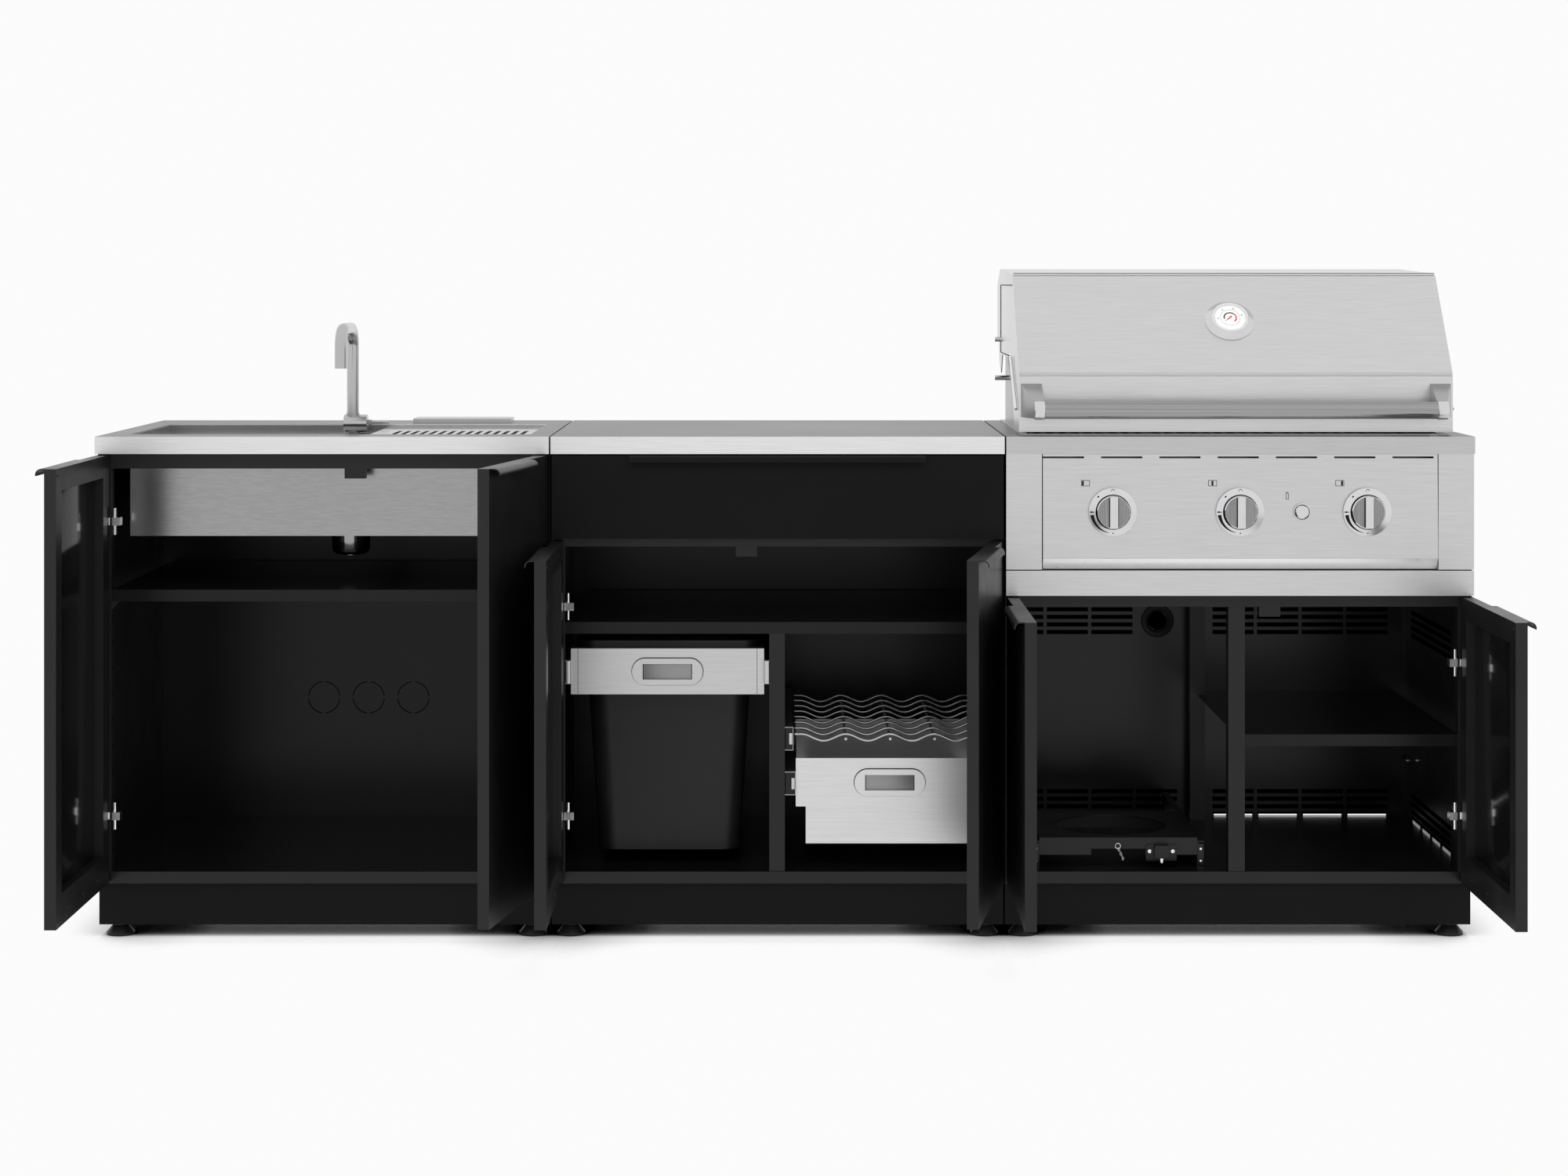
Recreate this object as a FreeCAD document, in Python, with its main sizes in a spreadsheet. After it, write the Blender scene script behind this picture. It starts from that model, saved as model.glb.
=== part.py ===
import FreeCAD, Part

import math
import os

import Sketcher
from FreeCAD import Placement, Rotation, Vector

# Driving sizes in millimetres and degrees. "Depth" counts from the front plane of the worktops.
SIZES = {
    # Three cabinets side by side under one worktop height
    "sink_width": 812.0,
    "centre_width": 812.0,
    "grill_width": 838.0,
    "cabinet_gap": 3.0,
    "top_depth": 609.6,
    "top_height": 901.7,
    "top_edge": 31.0,
    "top_return": 24.0,
    "panel": 2.0,
    "steel": 1.5,
    "seat": 0.3,
    # Carcasses
    "post_front": 27.0,
    "back_setback": 9.6,
    "post_width": 24.0,
    "post_depth": 24.0,
    "rear_post_width": 30.0,
    "floor_height": 118.8,
    "floor_lip": 21.2,
    "shelf_lip": 21.0,
    "shelf_front": 30.0,
    "shelf_clearance": 20.0,
    "kick_setback": 38.0,
    "kick_top": 96.2,
    "kick_bottom": 21.7,
    "foot_flange": 62.0,
    "spacer_radius": 12.0,
    "spacer_inset": 60.0,
    "rail_depth": 20.0,
    # Feet
    "foot_radius": 25.0,
    "foot_neck": 13.5,
    "foot_rim": 4.0,
    "foot_inset": 33.0,
    "foot_front": 65.0,
    "foot_back_inset": 45.0,
    # Doors
    "door_front": 2.0,
    "door_thickness": 20.0,
    "door_side_gap": 2.0,
    "door_meeting_gap": 3.0,
    "door_bottom": 101.0,
    "door_top_gap": 2.7,
    "door_skin": 1.5,
    "door_recess": 17.0,
    "door_bend": 3.0,
    "door_hinge_frame": 50.0,
    "door_free_frame": 40.0,
    "door_top_frame": 38.0,
    "door_bottom_frame": 54.0,
    "open_angle": 90.0,
    "resting_angle": 80.0,
    "handle_reach": 17.0,
    "handle_curl": 12.0,
    "handle_sheet": 2.0,
    "handle_length": 250.0,
    "handle_inset": 8.0,
    # Hinges
    "pivot_inset": 10.0,
    "pivot_pin": 3.0,
    "pivot_fit": 0.05,
    "eye_radius": 7.0,
    "eye_height": 14.0,
    "notch_height": 56.0,
    "hinge_bridge": 3.0,
    "hinge_block": 16.0,
    "hinge_block_depth": 18.0,
    "stud_inset": 5.5,
    "stud_radius": 3.4,
    "stud_length": 48.0,
    "hinge_from_top": 120.0,
    "hinge_from_bottom": 100.0,
    # Sink
    "basin_left": 46.0,
    "basin_margin": 39.0,
    "basin_front": 84.0,
    "basin_depth": 364.0,
    "bowl_depth": 281.0,
    "bowl_height": 183.0,
    "ledge_drop": 22.0,
    "tray_span": 312.5,
    "tray_drop": 8.0,
    "slot_width": 8.5,
    "slot_pitch": 17.1,
    "slot_count": 15,
    "slot_length": 239.0,
    "slot_front": 31.0,
    "slot_left": 39.0,
    "drain_inset": 40.0,
    "drain_deep": 270.0,
    "drain_hole": 30.0,
    "drain_flange": 39.0,
    "drain_tail": 17.0,
    "drain_nut": 36.0,
    "drain_length": 52.0,
    "faucet_inset": 55.7,
    "faucet_clearance": 43.0,
    "faucet_body_radius": 12.5,
    "faucet_rise": 21.5,
    "spout_radius": 11.4,
    "spout_collar": 3.0,
    "spout_bend": 35.0,
    "spout_rise": 187.0,
    "spout_reach": 160.0,
    "spout_end_rise": 114.3,
    "valve_radius": 17.5,
    "valve_start": 16.0,
    "valve_reach": 28.0,
    "valve_rise": 3.5,
    "lever_rise": 3.0,
    "lever_hub": 4.5,
    "lever_radius": 4.0,
    "lever_length": 31.7,
    "deck_inset": 45.0,
    "deck_width": 192.0,
    "deck_back_gap": 15.6,
    "deck_depth": 67.0,
    "deck_height": 8.0,
    "sink_shelf_drop": 276.7,
    "sink_rail_height": 27.7,
    "knockout_radius": 31.0,
    "knockout_across": 320.5,
    "knockout_pitch": 88.5,
    "knockout_height": 353.0,
    # Drawer cabinet
    "drawer_face_height": 149.0,
    "drawer_box_rise": 16.0,
    "drawer_box_height": 110.0,
    "drawer_box_clearance": 60.0,
    "drawer_handle": 530.0,
    "slide_thickness": 13.0,
    "slide_height": 42.0,
    "slide_clearance": 55.0,
    "drawer_rail_drop": 16.0,
    "door_drawer_gap": 4.0,
    "centre_shelf_top": 567.0,
    "cooler_bay": 369.0,
    "divider_width": 28.0,
    "pull_front": 45.0,
    "bin_side_gap": 9.5,
    "bin_panel_height": 82.5,
    "bin_panel_drop": 49.5,
    "bin_frame_clearance": 80.0,
    "bin_rim_rise": 12.5,
    "bin_rim_margin": 15.0,
    "bin_rim_end_margin": 35.0,
    "bin_body_margin": 45.0,
    "bin_body_end_margin": 67.0,
    "bin_taper": 3.4,
    "bin_floor_gap": 26.2,
    "bin_corner": 35.0,
    "bin_wall": 3.0,
    "bin_opening_margin": 36.0,
    "bin_opening_end_margin": 55.0,
    "pull_length": 127.6,
    "pull_height": 48.0,
    "pull_recess_length": 89.0,
    "pull_recess_height": 28.0,
    "pull_proud": 6.0,
    "rack_left": 15.5,
    "rack_right": 7.5,
    "rack_height": 357.0,
    "rack_clearance": 44.0,
    "rack_wire": 2.6,
    "rack_rod": 3.0,
    "rack_bar_height": 26.0,
    "rack_bar": 2.5,
    "rack_pitch": 80.0,
    "rack_crest": 94.5,
    "rack_wave": 12.0,
    "rack_wires": 8,
    "cooler_left": 19.8,
    "cooler_right": 10.8,
    "cooler_top": 320.0,
    "cooler_step": 233.0,
    "cooler_bottom": 163.0,
    "cooler_inset": 18.0,
    "cooler_clearance": 70.0,
    "drawer_travel": 0.45,
    # Grill cabinet
    "door_apron_gap": 3.0,
    "grill_rail_height": 19.0,
    "grill_post_across": 401.0,
    "grill_post_width": 29.6,
    "grill_shelf_top": 365.0,
    "apron_drop": 284.7,
    "apron_height": 45.0,
    "stile_width": 65.0,
    "grill_trim_inset": 1.5,
    "panel_lip_gap": 2.5,
    "panel_lip_height": 20.0,
    "panel_lean": 5.0,
    "panel_lip_depth": 16.0,
    "vent_dash_length": 73.6,
    "vent_dash_height": 3.5,
    "vent_dash_margin": 7.1,
    "vent_dash_count": 7,
    "knob_pitch": 227.3,
    "knob_drop": 134.1,
    "knob_radius": 30.0,
    "knob_depth": 24.0,
    "knob_skirt": 4.0,
    "grip_width": 14.0,
    "grip_proud": 7.0,
    "bezel_radius": 43.0,
    "bezel_depth": 9.0,
    "bezel_rise": 5.0,
    "stem_radius": 4.0,
    "stem_hole": 5.5,
    "igniter_across": 111.0,
    "igniter_radius": 12.5,
    "igniter_ring": 15.4,
    "igniter_travel": 4.0,
    "firebox_inset": 41.0,
    "firebox_front": 62.0,
    "firebox_back_gap": 10.0,
    "firebox_drop": 261.7,
    "cheek_rise": 128.3,
    "grate_drop": 21.7,
    "grate_thickness": 10.0,
    "grate_slots": 9,
    "tamer_drop": 69.7,
    "tamer_width": 130.0,
    "tamer_rise": 30.0,
    "burner_drop": 111.7,
    "burner_radius": 14.0,
    "manifold_radius": 10.0,
    "grease_depth": 38.0,
    "hood_inset": 26.0,
    "hood_front": 45.0,
    "hood_gap": 6.3,
    "crease_rise": 110.3,
    "hood_slope_back": 197.0,
    "brow_rise": 291.3,
    "hood_top_setback": 72.0,
    "hood_rise": 300.3,
    "tail_rise": 268.3,
    "hood_cut_front": 155.0,
    "hood_cut_back": 232.0,
    "hood_cut_rise": 134.3,
    "pivot_setback": 100.0,
    "pivot_rise": 163.3,
    "hood_heel": 65.0,
    "hood_bend": 25.0,
    "hood_pin": 5.0,
    "hood_pin_reach": 12.0,
    "stop_pin_drop": 75.0,
    "hood_angle": 85.0,
    "bar_radius": 15.6,
    "bar_deep": -15.0,
    "bar_rise": 47.9,
    "bar_inset": 41.0,
    "collar_length": 18.0,
    "collar_radius": 17.0,
    "bracket_length": 44.0,
    "gauge_radius": 44.6,
    "gauge_depth": 12.0,
    "gauge_dial": 30.0,
    "gauge_along": 0.52,
    "tank_left": 64.0,
    "tank_width": 285.0,
    "tank_front": 60.0,
    "tank_depth": 274.0,
    "tank_top": 174.0,
    "tank_skirt": 31.0,
    "tank_hole": 102.0,
    "tank_hole_deep": 130.0,
    "tank_notch": 98.0,
    "tank_notch_height": 11.0,
    "tank_rail": 12.0,
    "tank_rail_top": 168.0,
    "gas_hole_across": 343.0,
    "gas_hole_drop": 397.0,
    "gas_hole": 21.8,
    "vent_gap": 12.4,
    "vent_height": 5.8,
    "vent_middle": 75.8,
    "vent_row_pitch": 15.0,
    "vent_upper_drop": 374.2,
    "vent_lower_rise": 48.2,
    "vent_first": 38.0,
    "vent_last": 41.8,
    "side_vent_clearance": 407.0,
    "side_vent_pitch": 90.0,
    # Catches under the rails
    "catch_offset": 56.0,
    "catch_width": 38.0,
    "catch_height": 18.0,
    "catch_depth": 16.0,
}

doc = FreeCAD.newDocument("kitchen_island")
sheet = doc.addObject("Spreadsheet::Sheet", "Sizes")
for row, (alias, number) in enumerate(SIZES.items(), start=1):
    sheet.set(f"A{row}", alias)
    sheet.set(f"B{row}", str(number))
    sheet.setAlias(f"B{row}", alias)
places = doc.addObject("App::VarSet", "Places")
doc.recompute()


class Size:
    """A length or angle that knows its number and the expression that drives it."""

    def __init__(self, number, text):
        self.number = float(number)
        self.text = text

    def combined(self, other, sign, number):
        return Size(number, f"({self.text} {sign} {size(other).text})")

    def __add__(self, other):
        return self.combined(other, "+", self.number + size(other).number)

    def __sub__(self, other):
        return self.combined(other, "-", self.number - size(other).number)

    def __mul__(self, other):
        return self.combined(other, "*", self.number * size(other).number)

    def __truediv__(self, other):
        return self.combined(other, "/", self.number / size(other).number)

    def __radd__(self, other):
        return size(other) + self

    def __rsub__(self, other):
        return size(other) - self

    def __rmul__(self, other):
        return size(other) * self

    def __neg__(self):
        return Size(-self.number, f"(-{self.text})")


class Sheet:
    """Reads a size of the sheet by its alias."""

    def __getattr__(self, alias):
        return Size(sheet.get(alias), f"Sizes.{alias}")


def size(value):
    return value if isinstance(value, Size) else Size(value, repr(float(value)))


def place(name, value):
    """Keeps a worked-out size under a name of its own."""
    places.addProperty("App::PropertyFloat", name)
    places.setExpression(name, value.text)
    return Size(value.number, f"Places.{name}")


def bind(item, name, value):
    item.setExpression(name, size(value).text)


def put(item, across=0, deep=0, high=0):
    for axis, value in zip("xyz", (across, deep, high)):
        bind(item, f"Placement.Base.{axis}", value)
    return item


def ordered(span):
    low, high = size(span[0]), size(span[1])
    return (low, high) if low.number <= high.number else (high, low)


def block(name, across, deep, high):
    item = doc.addObject("Part::Box", name)
    spans = [ordered(span) for span in (across, deep, high)]
    for side, (low, top) in zip(("Length", "Width", "Height"), spans):
        bind(item, side, top - low)
    return put(item, *(low for low, _ in spans))


def rod(name, axis, across, deep, high, radius):
    """A round bar along one axis; that axis gets a span and the other two a centre."""
    item = doc.addObject("Part::Cylinder", name)
    spans = dict(zip("xyz", (across, deep, high)))
    low, top = ordered(spans[axis])
    spans[axis] = low
    turn = {"x": (Vector(0, 1, 0), 90), "y": (Vector(1, 0, 0), -90), "z": (Vector(0, 0, 1), 0)}
    item.Placement = Placement(Vector(), Rotation(*turn[axis]))
    bind(item, "Radius", radius)
    bind(item, "Height", top - low)
    return put(item, spans["x"], spans["y"], spans["z"])


def join(name, pieces):
    item = doc.addObject("Part::MultiFuse", name)
    item.Shapes = pieces
    item.Refine = True
    return item


def group(name, pieces):
    item = doc.addObject("Part::Compound", name)
    item.Links = pieces
    return item


def cut(name, base, tools):
    item = doc.addObject("Part::Cut", name)
    item.Base = base
    item.Tool = tools[0] if len(tools) == 1 else group(f"{name}_tools", tools)
    return item


def body(name):
    return doc.addObject("PartDesign::Body", name)


def sketch(owner, name, role, offset=0):
    drawing = owner.newObject("Sketcher::SketchObject", name)
    plane = next(item for item in owner.Origin.OriginFeatures if item.Role == role)
    drawing.AttachmentSupport = [(plane, "")]
    drawing.MapMode = "FlatFace"
    bind(drawing, "AttachmentOffset.Base.z", offset)
    return drawing


def hold(drawing, geometry, end, point):
    """Fixes a point of a sketch by its distances from the origin, where they are given."""
    for kind, value in zip(("DistanceX", "DistanceY"), point):
        if value is None:
            continue
        value = size(value)
        number = drawing.addConstraint(Sketcher.Constraint(kind, -1, 1, geometry, end, value.number))
        bind(drawing, f"Constraints[{number}]", value)


def outline(drawing, points):
    """Closes a run of straight edges through the points."""
    corners = [Vector(size(x).number, size(y).number, 0) for x, y in points]
    count = len(corners)
    for index in range(count):
        drawing.addGeometry(Part.LineSegment(corners[index], corners[(index + 1) % count]))
    for index in range(count):
        drawing.addConstraint(Sketcher.Constraint("Coincident", index, 2, (index + 1) % count, 1))
    for index, point in enumerate(points):
        hold(drawing, index, 1, point)
    return drawing


def rectangle(drawing, across, up):
    (left, right), (low, high) = ordered(across), ordered(up)
    return outline(drawing, [(left, low), (right, low), (right, high), (left, high)])


def circle(drawing, centre, radius):
    middle = Vector(size(centre[0]).number, size(centre[1]).number, 0)
    number = drawing.addGeometry(Part.Circle(middle, Vector(0, 0, 1), size(radius).number))
    hold(drawing, number, 3, centre)
    limit = drawing.addConstraint(Sketcher.Constraint("Radius", number, size(radius).number))
    bind(drawing, f"Constraints[{limit}]", radius)
    return drawing


def pad(owner, drawing, length, back=False):
    feature = owner.newObject("PartDesign::Pad", f"{drawing.Name}_pad")
    feature.Profile = drawing
    feature.Reversed = back
    bind(feature, "Length", length)
    return feature


def pocket(owner, drawing, length, back=False):
    feature = owner.newObject("PartDesign::Pocket", f"{drawing.Name}_pocket")
    feature.Profile = drawing
    feature.Reversed = back
    bind(feature, "Length", length)
    return feature


def revolve(owner, drawing):
    feature = owner.newObject("PartDesign::Revolution", f"{drawing.Name}_turned")
    feature.Profile = drawing
    feature.ReferenceAxis = (drawing, ["V_Axis"])
    feature.Angle = 360
    return feature


def round_edges(owner, feature, radius, wanted):
    """Rounds the edges of a feature for which wanted(middle, direction) holds."""
    doc.recompute()
    names = []
    for number, edge in enumerate(feature.Shape.Edges, start=1):
        if len(edge.Vertexes) == 2:
            start, end = (vertex.Point for vertex in edge.Vertexes)
            if wanted((start + end) / 2, (end - start).normalize()):
                names.append(f"Edge{number}")
    if not names:
        raise ValueError(f"no edge of {feature.Name} is to be rounded")
    rounded = owner.newObject("PartDesign::Fillet", f"{feature.Name}_rounded")
    rounded.Base = (feature, names)
    bind(rounded, "Radius", radius)
    return rounded


def near(value, target):
    return abs(value - size(target).number) < 0.01


NODES = {}


def node(name, item):
    """Names a finished sub-part of the island."""
    item.Label = name
    NODES[name] = item
    return item


s = Sheet()

# Places shared by several pieces
grill_door_width = place("grill_door_width", (s.grill_width - 2 * s.door_side_gap - s.door_meeting_gap) / 2)
pivot_depth = place("pivot_depth", s.door_front + s.door_thickness / 2)
door_reach = grill_door_width - s.pivot_inset - pivot_depth
FRONT = place("front", (door_reach - s.top_depth) / 2)
SINK_LEFT = place("sink_left", (s.sink_width + s.centre_width + s.grill_width + 2 * s.cabinet_gap) / -2)
SINK_RIGHT = place("sink_right", SINK_LEFT + s.sink_width)
CENTRE_LEFT = place("centre_left", SINK_RIGHT + s.cabinet_gap)
CENTRE_RIGHT = place("centre_right", CENTRE_LEFT + s.centre_width)
GRILL_LEFT = place("grill_left", CENTRE_RIGHT + s.cabinet_gap)
GRILL_RIGHT = place("grill_right", GRILL_LEFT + s.grill_width)
TOP_UNDER = place("top_under", s.top_height - s.top_edge)
DOOR_TOP = place("door_top", TOP_UNDER - s.door_top_gap)
CABINETS = {
    "sink": (SINK_LEFT, SINK_RIGHT),
    "centre": (CENTRE_LEFT, CENTRE_RIGHT),
    "grill": (GRILL_LEFT, GRILL_RIGHT),
}

# Depths counted back from the front plane of the worktops
CARCASS_BACK = place("carcass_back", s.top_depth - s.back_setback)
SHELF_BACK = place("shelf_back", CARCASS_BACK - s.shelf_clearance)
FOOT_BACK = place("foot_back", CARCASS_BACK - s.foot_back_inset)
DECK_FRONT = place("deck_front", s.top_depth - s.deck_depth - s.deck_back_gap)
FAUCET_DEEP = place("faucet_deep", s.basin_front + s.basin_depth - s.faucet_clearance)
DRAWER_BOX_BACK = place("drawer_box_back", CARCASS_BACK - s.drawer_box_clearance)
SLIDE_BACK = place("slide_back", CARCASS_BACK - s.slide_clearance)
BIN_FRAME_BACK = place("bin_frame_back", CARCASS_BACK - s.bin_frame_clearance)
RACK_BACK = place("rack_back", CARCASS_BACK - s.rack_clearance)
COOLER_BACK = place("cooler_back", CARCASS_BACK - s.cooler_clearance)
FIREBOX_BACK = place("firebox_back", CARCASS_BACK - s.firebox_back_gap)
HOOD_TOP_BACK = place("hood_top_back", CARCASS_BACK - s.hood_top_setback)
HOOD_PIVOT_DEEP = place("hood_pivot_deep", CARCASS_BACK - s.pivot_setback)
SIDE_VENT_FIRST = place("side_vent_first", CARCASS_BACK - s.side_vent_clearance)
REAR_POST = place("rear_post", CARCASS_BACK - 2 * s.panel - s.grill_post_width - s.rail_depth)

# Heights over the ground that follow the worktops
LEDGE = place("ledge", s.top_height - s.ledge_drop)
UNDER_SHEET = place("under_sheet", s.top_height - s.steel)
FAUCET_BODY_TOP = place("faucet_body_top", s.top_height + s.faucet_rise)
SPOUT_TOP = place("spout_top", s.top_height + s.spout_rise)
SPOUT_END = place("spout_end", s.top_height + s.spout_end_rise)
VALVE_HEIGHT = place("valve_height", s.top_height + s.valve_rise)
LEVER_HEIGHT = place("lever_height", VALVE_HEIGHT + s.lever_rise)
SINK_SHELF_TOP = place("sink_shelf_top", s.top_height - s.sink_shelf_drop)
SINK_RAIL_BOTTOM = place("sink_rail_bottom", TOP_UNDER - s.sink_rail_height)
DRAWER_BOTTOM = place("drawer_bottom", DOOR_TOP - s.drawer_face_height)
DRAWER_BOX_BOTTOM = place("drawer_box_bottom", DRAWER_BOTTOM + s.drawer_box_rise)
DRAWER_BOX_TOP = place("drawer_box_top", DRAWER_BOX_BOTTOM + s.drawer_box_height)
DRAWER_RAIL_BOTTOM = place("drawer_rail_bottom", DRAWER_BOTTOM - s.drawer_rail_drop)
CENTRE_DOOR_TOP = place("centre_door_top", DRAWER_BOTTOM - s.door_drawer_gap)
APRON_BOTTOM = place("apron_bottom", s.top_height - s.apron_drop)
APRON_TOP = place("apron_top", APRON_BOTTOM + s.apron_height)
GRILL_DOOR_TOP = place("grill_door_top", APRON_BOTTOM - s.door_apron_gap)
GRILL_RAIL_BOTTOM = place("grill_rail_bottom", GRILL_DOOR_TOP - s.grill_rail_height)
PANEL_LIP_BOTTOM = place("panel_lip_bottom", APRON_TOP + s.panel_lip_gap)
PANEL_LIP_TOP = place("panel_lip_top", PANEL_LIP_BOTTOM + s.panel_lip_height)
KNOB_HEIGHT = place("knob_height", s.top_height - s.knob_drop)
FIREBOX_BOTTOM = place("firebox_bottom", s.top_height - s.firebox_drop)
FIREBOX_CHEEK = place("firebox_cheek", s.top_height + s.cheek_rise)
GRATE_HEIGHT = place("grate_height", s.top_height - s.grate_drop)
TAMER_HEIGHT = place("tamer_height", s.top_height - s.tamer_drop)
BURNER_HEIGHT = place("burner_height", s.top_height - s.burner_drop)
HOOD_BOTTOM = place("hood_bottom", s.top_height + s.hood_gap)
HOOD_CREASE = place("hood_crease", s.top_height + s.crease_rise)
HOOD_SLOPE_TOP = place("hood_slope_top", s.top_height + s.brow_rise)
HOOD_TOP = place("hood_top", s.top_height + s.hood_rise)
HOOD_TAIL_TOP = place("hood_tail_top", s.top_height + s.tail_rise)
HOOD_CUT_HEIGHT = place("hood_cut_height", s.top_height + s.hood_cut_rise)
HOOD_PIVOT_HEIGHT = place("hood_pivot_height", s.top_height + s.pivot_rise)
BAR_HEIGHT = place("bar_height", s.top_height + s.bar_rise)
GAS_HOLE_HEIGHT = place("gas_hole_height", s.top_height - s.gas_hole_drop)
VENT_UPPER = place("vent_upper", s.top_height - s.vent_upper_drop)
VENT_LOWER = place("vent_lower", s.floor_height + s.vent_lower_rise)
BIN_PANEL_TOP = place("bin_panel_top", s.centre_shelf_top - s.bin_panel_drop)
BIN_PANEL_BOTTOM = place("bin_panel_bottom", BIN_PANEL_TOP - s.bin_panel_height)
BIN_RIM_TOP = place("bin_rim_top", BIN_PANEL_TOP + s.bin_rim_rise)
BIN_BOTTOM = place("bin_bottom", s.floor_height + s.bin_floor_gap)

# Widths that follow the cabinets
BASIN_WIDTH = place("basin_width", s.sink_width - s.basin_left - s.basin_margin)
BASIN_LEFT = place("basin_start", SINK_LEFT + s.basin_left)
BASIN_RIGHT = place("basin_end", BASIN_LEFT + BASIN_WIDTH)
TRAY_LEFT = place("tray_left", s.basin_left + BASIN_WIDTH - s.tray_span)
FAUCET_ACROSS = place("faucet_across", TRAY_LEFT - s.faucet_inset)
DRAIN_ACROSS = place("drain_across", TRAY_LEFT - s.drain_inset)
DECK_LEFT = place("deck_left", TRAY_LEFT + s.deck_inset)
DIVIDER_ACROSS = place("divider_across", s.centre_width - s.post_width - s.cooler_bay)
BIN_WIDTH = place("bin_width", DIVIDER_ACROSS - s.divider_width - s.post_width - 2 * s.bin_side_gap)
BIN_RIM_WIDTH = place("bin_rim_width", BIN_WIDTH - s.bin_rim_margin)
BIN_BODY_WIDTH = place("bin_body_width", BIN_WIDTH - s.bin_body_margin)
BIN_OPENING_WIDTH = place("bin_opening_width", BIN_WIDTH - s.bin_opening_margin)
BIN_RIM_DEPTH = place("bin_rim_depth", BIN_FRAME_BACK - s.pull_front - s.bin_rim_end_margin)
BIN_BODY_DEPTH = place("bin_body_depth", BIN_FRAME_BACK - s.pull_front - s.bin_body_end_margin)
BIN_OPENING_DEPTH = place("bin_opening_depth", BIN_FRAME_BACK - s.pull_front - s.bin_opening_end_margin)
RACK_WIDTH = place("rack_width", s.cooler_bay - s.rack_left - s.rack_right)
COOLER_WIDTH = place("cooler_width", s.cooler_bay - s.cooler_left - s.cooler_right)
PANEL_LEFT = place("panel_left", GRILL_LEFT + s.stile_width + s.seat)
PANEL_RIGHT = place("panel_right", GRILL_RIGHT - s.grill_trim_inset - s.stile_width - s.seat)
DASH_RUN = place("dash_run", PANEL_RIGHT - PANEL_LEFT - s.vent_dash_margin - s.vent_dash_length)
FIREBOX_LEFT = place("firebox_left", GRILL_LEFT + s.firebox_inset)
FIREBOX_RIGHT = place("firebox_right", GRILL_RIGHT - s.firebox_inset - 2 * s.panel)
GRILL_MIDDLE = place("grill_middle", GRILL_LEFT + s.grill_width / 2 - s.panel)
HOOD_LEFT = place("hood_left", GRILL_LEFT + s.hood_inset)
HOOD_RIGHT = place("hood_right", GRILL_RIGHT - s.hood_inset - 2 * s.panel)
BAR_LENGTH = place("bar_length", HOOD_RIGHT - HOOD_LEFT - 2 * s.bar_inset)
VENT_FIELD = place("vent_field", s.grill_width - s.vent_first - s.vent_middle - s.vent_last)
VENT_PITCH = place("vent_pitch", (VENT_FIELD + 2 * s.vent_gap) / 8)
VENT_LENGTH = place("vent_length", VENT_PITCH - s.vent_gap)
VENT_SECOND = place("vent_second", s.grill_width - s.vent_last - 4 * VENT_PITCH + s.vent_gap)


def deep(depth):
    """The Y of a depth behind the front plane of the worktops."""
    return FRONT + depth


def depths(start, end):
    return deep(start), deep(end)


# Carcasses


def folded(name, across, points):
    """A sheet folded to one section, given as depths and heights, that runs across a cabinet."""
    owner = body(name)
    section = outline(sketch(owner, f"{name}_section", "YZ_Plane"), points)
    pad(owner, section, across[1] - across[0])
    return put(owner, across[0], FRONT)


def shrunk(span, wall):
    return span[0] + wall, span[1] - wall


def tube(name, across, depth, high):
    """An upright tube of sheet."""
    owner = body(name)
    height = high[1] - high[0]
    pad(owner, rectangle(sketch(owner, f"{name}_plan", "XY_Plane", high[0]), across, depth), height)
    inside = sketch(owner, f"{name}_inside", "XY_Plane", high[0])
    pocket(owner, rectangle(inside, shrunk(across, s.panel), shrunk(depth, s.panel)), height, back=True)
    return owner


def pan(name, across, depth, high, wall, upturned=False):
    """A box of sheet that is open above, or below when upturned."""
    owner = body(name)
    height = high[1] - high[0]
    pad(owner, rectangle(sketch(owner, f"{name}_plan", "XY_Plane", high[0]), across, depth), height)
    inside = sketch(owner, f"{name}_inside", "XY_Plane", high[0] if upturned else high[0] + wall)
    pocket(owner, rectangle(inside, shrunk(across, wall), shrunk(depth, wall)), height - wall, back=True)
    return owner


def vent_slots(name, starts, place_slot, skipped=()):
    """Louvre slots in two bands of four rows at each start, but for the skipped column and band."""
    slots = []
    for column, start in enumerate(starts):
        for band, height in enumerate((VENT_UPPER, VENT_LOWER)):
            if (column, band) in skipped:
                continue
            for step in range(4):
                middle = height - step * s.vent_row_pitch
                span = (middle - s.vent_height / 2, middle + s.vent_height / 2)
                slots.append(place_slot(f"{name}_{column}_{band}_{step}", start, span))
    return slots


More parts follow.
